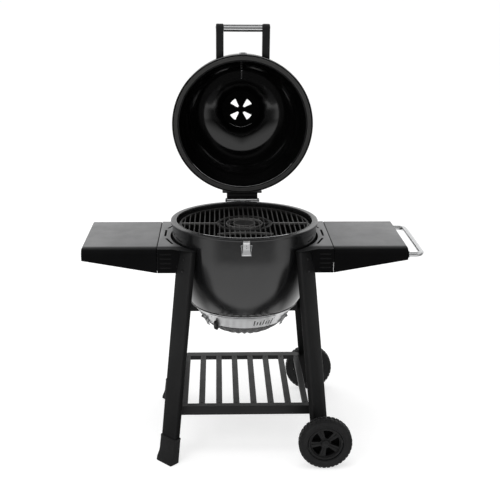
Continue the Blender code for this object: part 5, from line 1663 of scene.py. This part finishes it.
def glossy_world(graph, view, x, y, z):
    """What polished and painted surfaces see, by view direction."""
    remap, plus, minus, times = graph.remap, graph.plus, graph.minus, graph.times

    def lobe(direction, cos_full, cos_gone, value):
        """Soft-edged round patch of light about a direction."""
        dot = graph.vector("DOT_PRODUCT", view, Vector(direction).normalized())
        return remap(dot.outputs["Value"], span=(cos_gone, cos_full), to=(0.0, value))

    side = graph.math("ABSOLUTE", x)
    # pale sweep behind, brighter outwards
    outward = times(remap(z, span=(0.05, 0.20)), remap(side, span=(0.02, 0.17), to=(-0.20, 0.12)))
    back = times(remap(y, span=(0.05, 0.57)), plus(1.0, outward))
    # wide lit wall in front, with a dark gap
    reach = plus(remap(z, span=(-0.80, -0.52), to=(0.13, 0.0)),
                 remap(z, span=(-0.42, -0.29), to=(0.0, 0.17)))
    wall = remap(minus(y, reach), span=(-0.44, -0.34), to=(0.92, 0.0))
    gap = times(remap(z, span=(-0.350, -0.265), to=(0.0, 0.90)),
                remap(side, span=(0.62, 0.80), to=(1.0, 0.25)))
    front = times(times(wall, minus(1.0, gap)), remap(z, span=(-0.10, 0.0), to=(1.0, 0.0)))
    # high front light, starting lower towards the sides
    high = plus(z, times(side, 0.60))
    upper = times(remap(y, span=(-0.40, -0.28), to=(0.72, 0.0)), remap(high, span=(0.28, 0.62)))
    # lit patch of floor below
    edge = minus(y, times(side, 0.385))
    floor = times(remap(z, span=(-0.84, -0.74), to=(0.95, 0.0)), remap(edge, span=(-0.19, -0.10)))
    low = lobe((0.03, -0.30, -0.95), cos_full=0.990, cos_gone=0.962, value=0.30)
    high_right = lobe((0.80, -0.08, 0.56), cos_full=0.955, cos_gone=0.895, value=1.1)
    high_left = lobe((-0.80, -0.08, 0.52), cos_full=0.982, cos_gone=0.950, value=0.6)
    left = lobe((-1.0, 0.0, -0.25), cos_full=0.80, cos_gone=0.45, value=0.21)
    level = 0.022                       # darkest level anywhere
    for part in (back, front, low, upper, floor, high_right, high_left, left):
        level = graph.math("MAXIMUM", level, part)
    return level


def build_world():
    """Separate light levels for the camera, for glossy rays and for everything else."""
    world = bpy.data.worlds.new("studio")
    scene.world = world
    world.use_nodes = True
    graph = Graph(world.node_tree)
    graph.tree.nodes.clear()

    def choose(flag, other, chosen):
        inputs = {0: flag, 2: other, 3: chosen}
        return graph.node("ShaderNodeMix", inputs, data_type="FLOAT").outputs[0]

    view = graph.node("ShaderNodeTexCoord").outputs["Generated"]
    x, y, z = graph.split(view)
    gloss = glossy_world(graph, view, x, y, z)
    # brighter from above, behind and the left
    diffuse = graph.remap(z, span=(-0.2, 0.9), to=(0.55, 1.05))
    diffuse = graph.times(diffuse, graph.remap(y, span=(-0.6, 0.4), to=(0.70, 1.0)))
    diffuse = graph.times(diffuse, graph.remap(x, span=(-0.6, 0.6), to=(1.10, 0.58)))
    rays = graph.node("ShaderNodeLightPath").outputs
    strength = choose(rays["Is Glossy Ray"], diffuse, gloss)
    strength = choose(rays["Is Camera Ray"], strength, 1.0)
    background = graph.node("ShaderNodeBackground", {"Strength": strength, "Color": (1, 1, 1)})
    graph.node("ShaderNodeOutputWorld", {"Surface": background.outputs[0]})


def softbox(name, where, target, size, power):
    """Square area light aimed at a target, unseen in reflections."""
    light = bpy.data.lights.new(name, "AREA")
    light.shape = "RECTANGLE"
    light.size = size
    light.size_y = size
    light.energy = power
    holder = add_object(name, light)
    holder.location = where
    holder.rotation_mode = "QUATERNION"
    holder.rotation_quaternion = (Vector(target) - Vector(where)).to_track_quat("-Z", "Y")
    holder.visible_glossy = False


def build_camera():
    place = Vector((-0.1038 + AXIS_X, -3.5338 + AXIS_Y, 1.8324))
    yaw, pitch, roll = 0.0358, 0.2955, 0.0069       # radians: to the right, down, tilt
    ahead = Vector((sin(yaw) * cos(pitch), cos(yaw) * cos(pitch), -sin(pitch)))
    level = Vector((cos(yaw), -sin(yaw), 0))
    upright = level.cross(ahead)
    right = level * cos(roll) + upright * sin(roll)
    up = -level * sin(roll) + upright * cos(roll)
    camera = bpy.data.cameras.new("camera")
    camera.sensor_width = 36
    camera.lens = 67.84272
    camera.clip_end = 400
    holder = add_object("camera", camera)
    holder.matrix_world = Matrix((*zip(right, up, -ahead, place), (0, 0, 0, 1)))
    scene.camera = holder


for build in (build_bowl, build_fire_bowl, build_ash_cone, build_ash_pan, build_air_band,
              build_pan_clips, build_legs, build_rack, build_shelves, build_towel_rail,
              build_wheels, build_cooking_grate, build_center_grate, build_latch_base,
              build_latch_lever, build_latch_bail, build_hinge, build_lid_shells,
              build_lid_rim, build_handle, build_gauge_body, build_gauge_face, build_vent,
              build_vent_damper, build_strike, build_lid_hinge, build_floor, build_world):
    build()
softbox("overhead", where=(0.0, -0.4, 4.2), target=(0, 0, 0.5), size=3.0, power=60)
softbox("front_left", where=(-2.2, -3.0, 2.8), target=(0, 0, 0.7), size=1.8, power=30)
scene.view_settings.view_transform = "Standard"
scene.view_settings.look = "None"
build_camera()

bpy.context.view_layer.update()
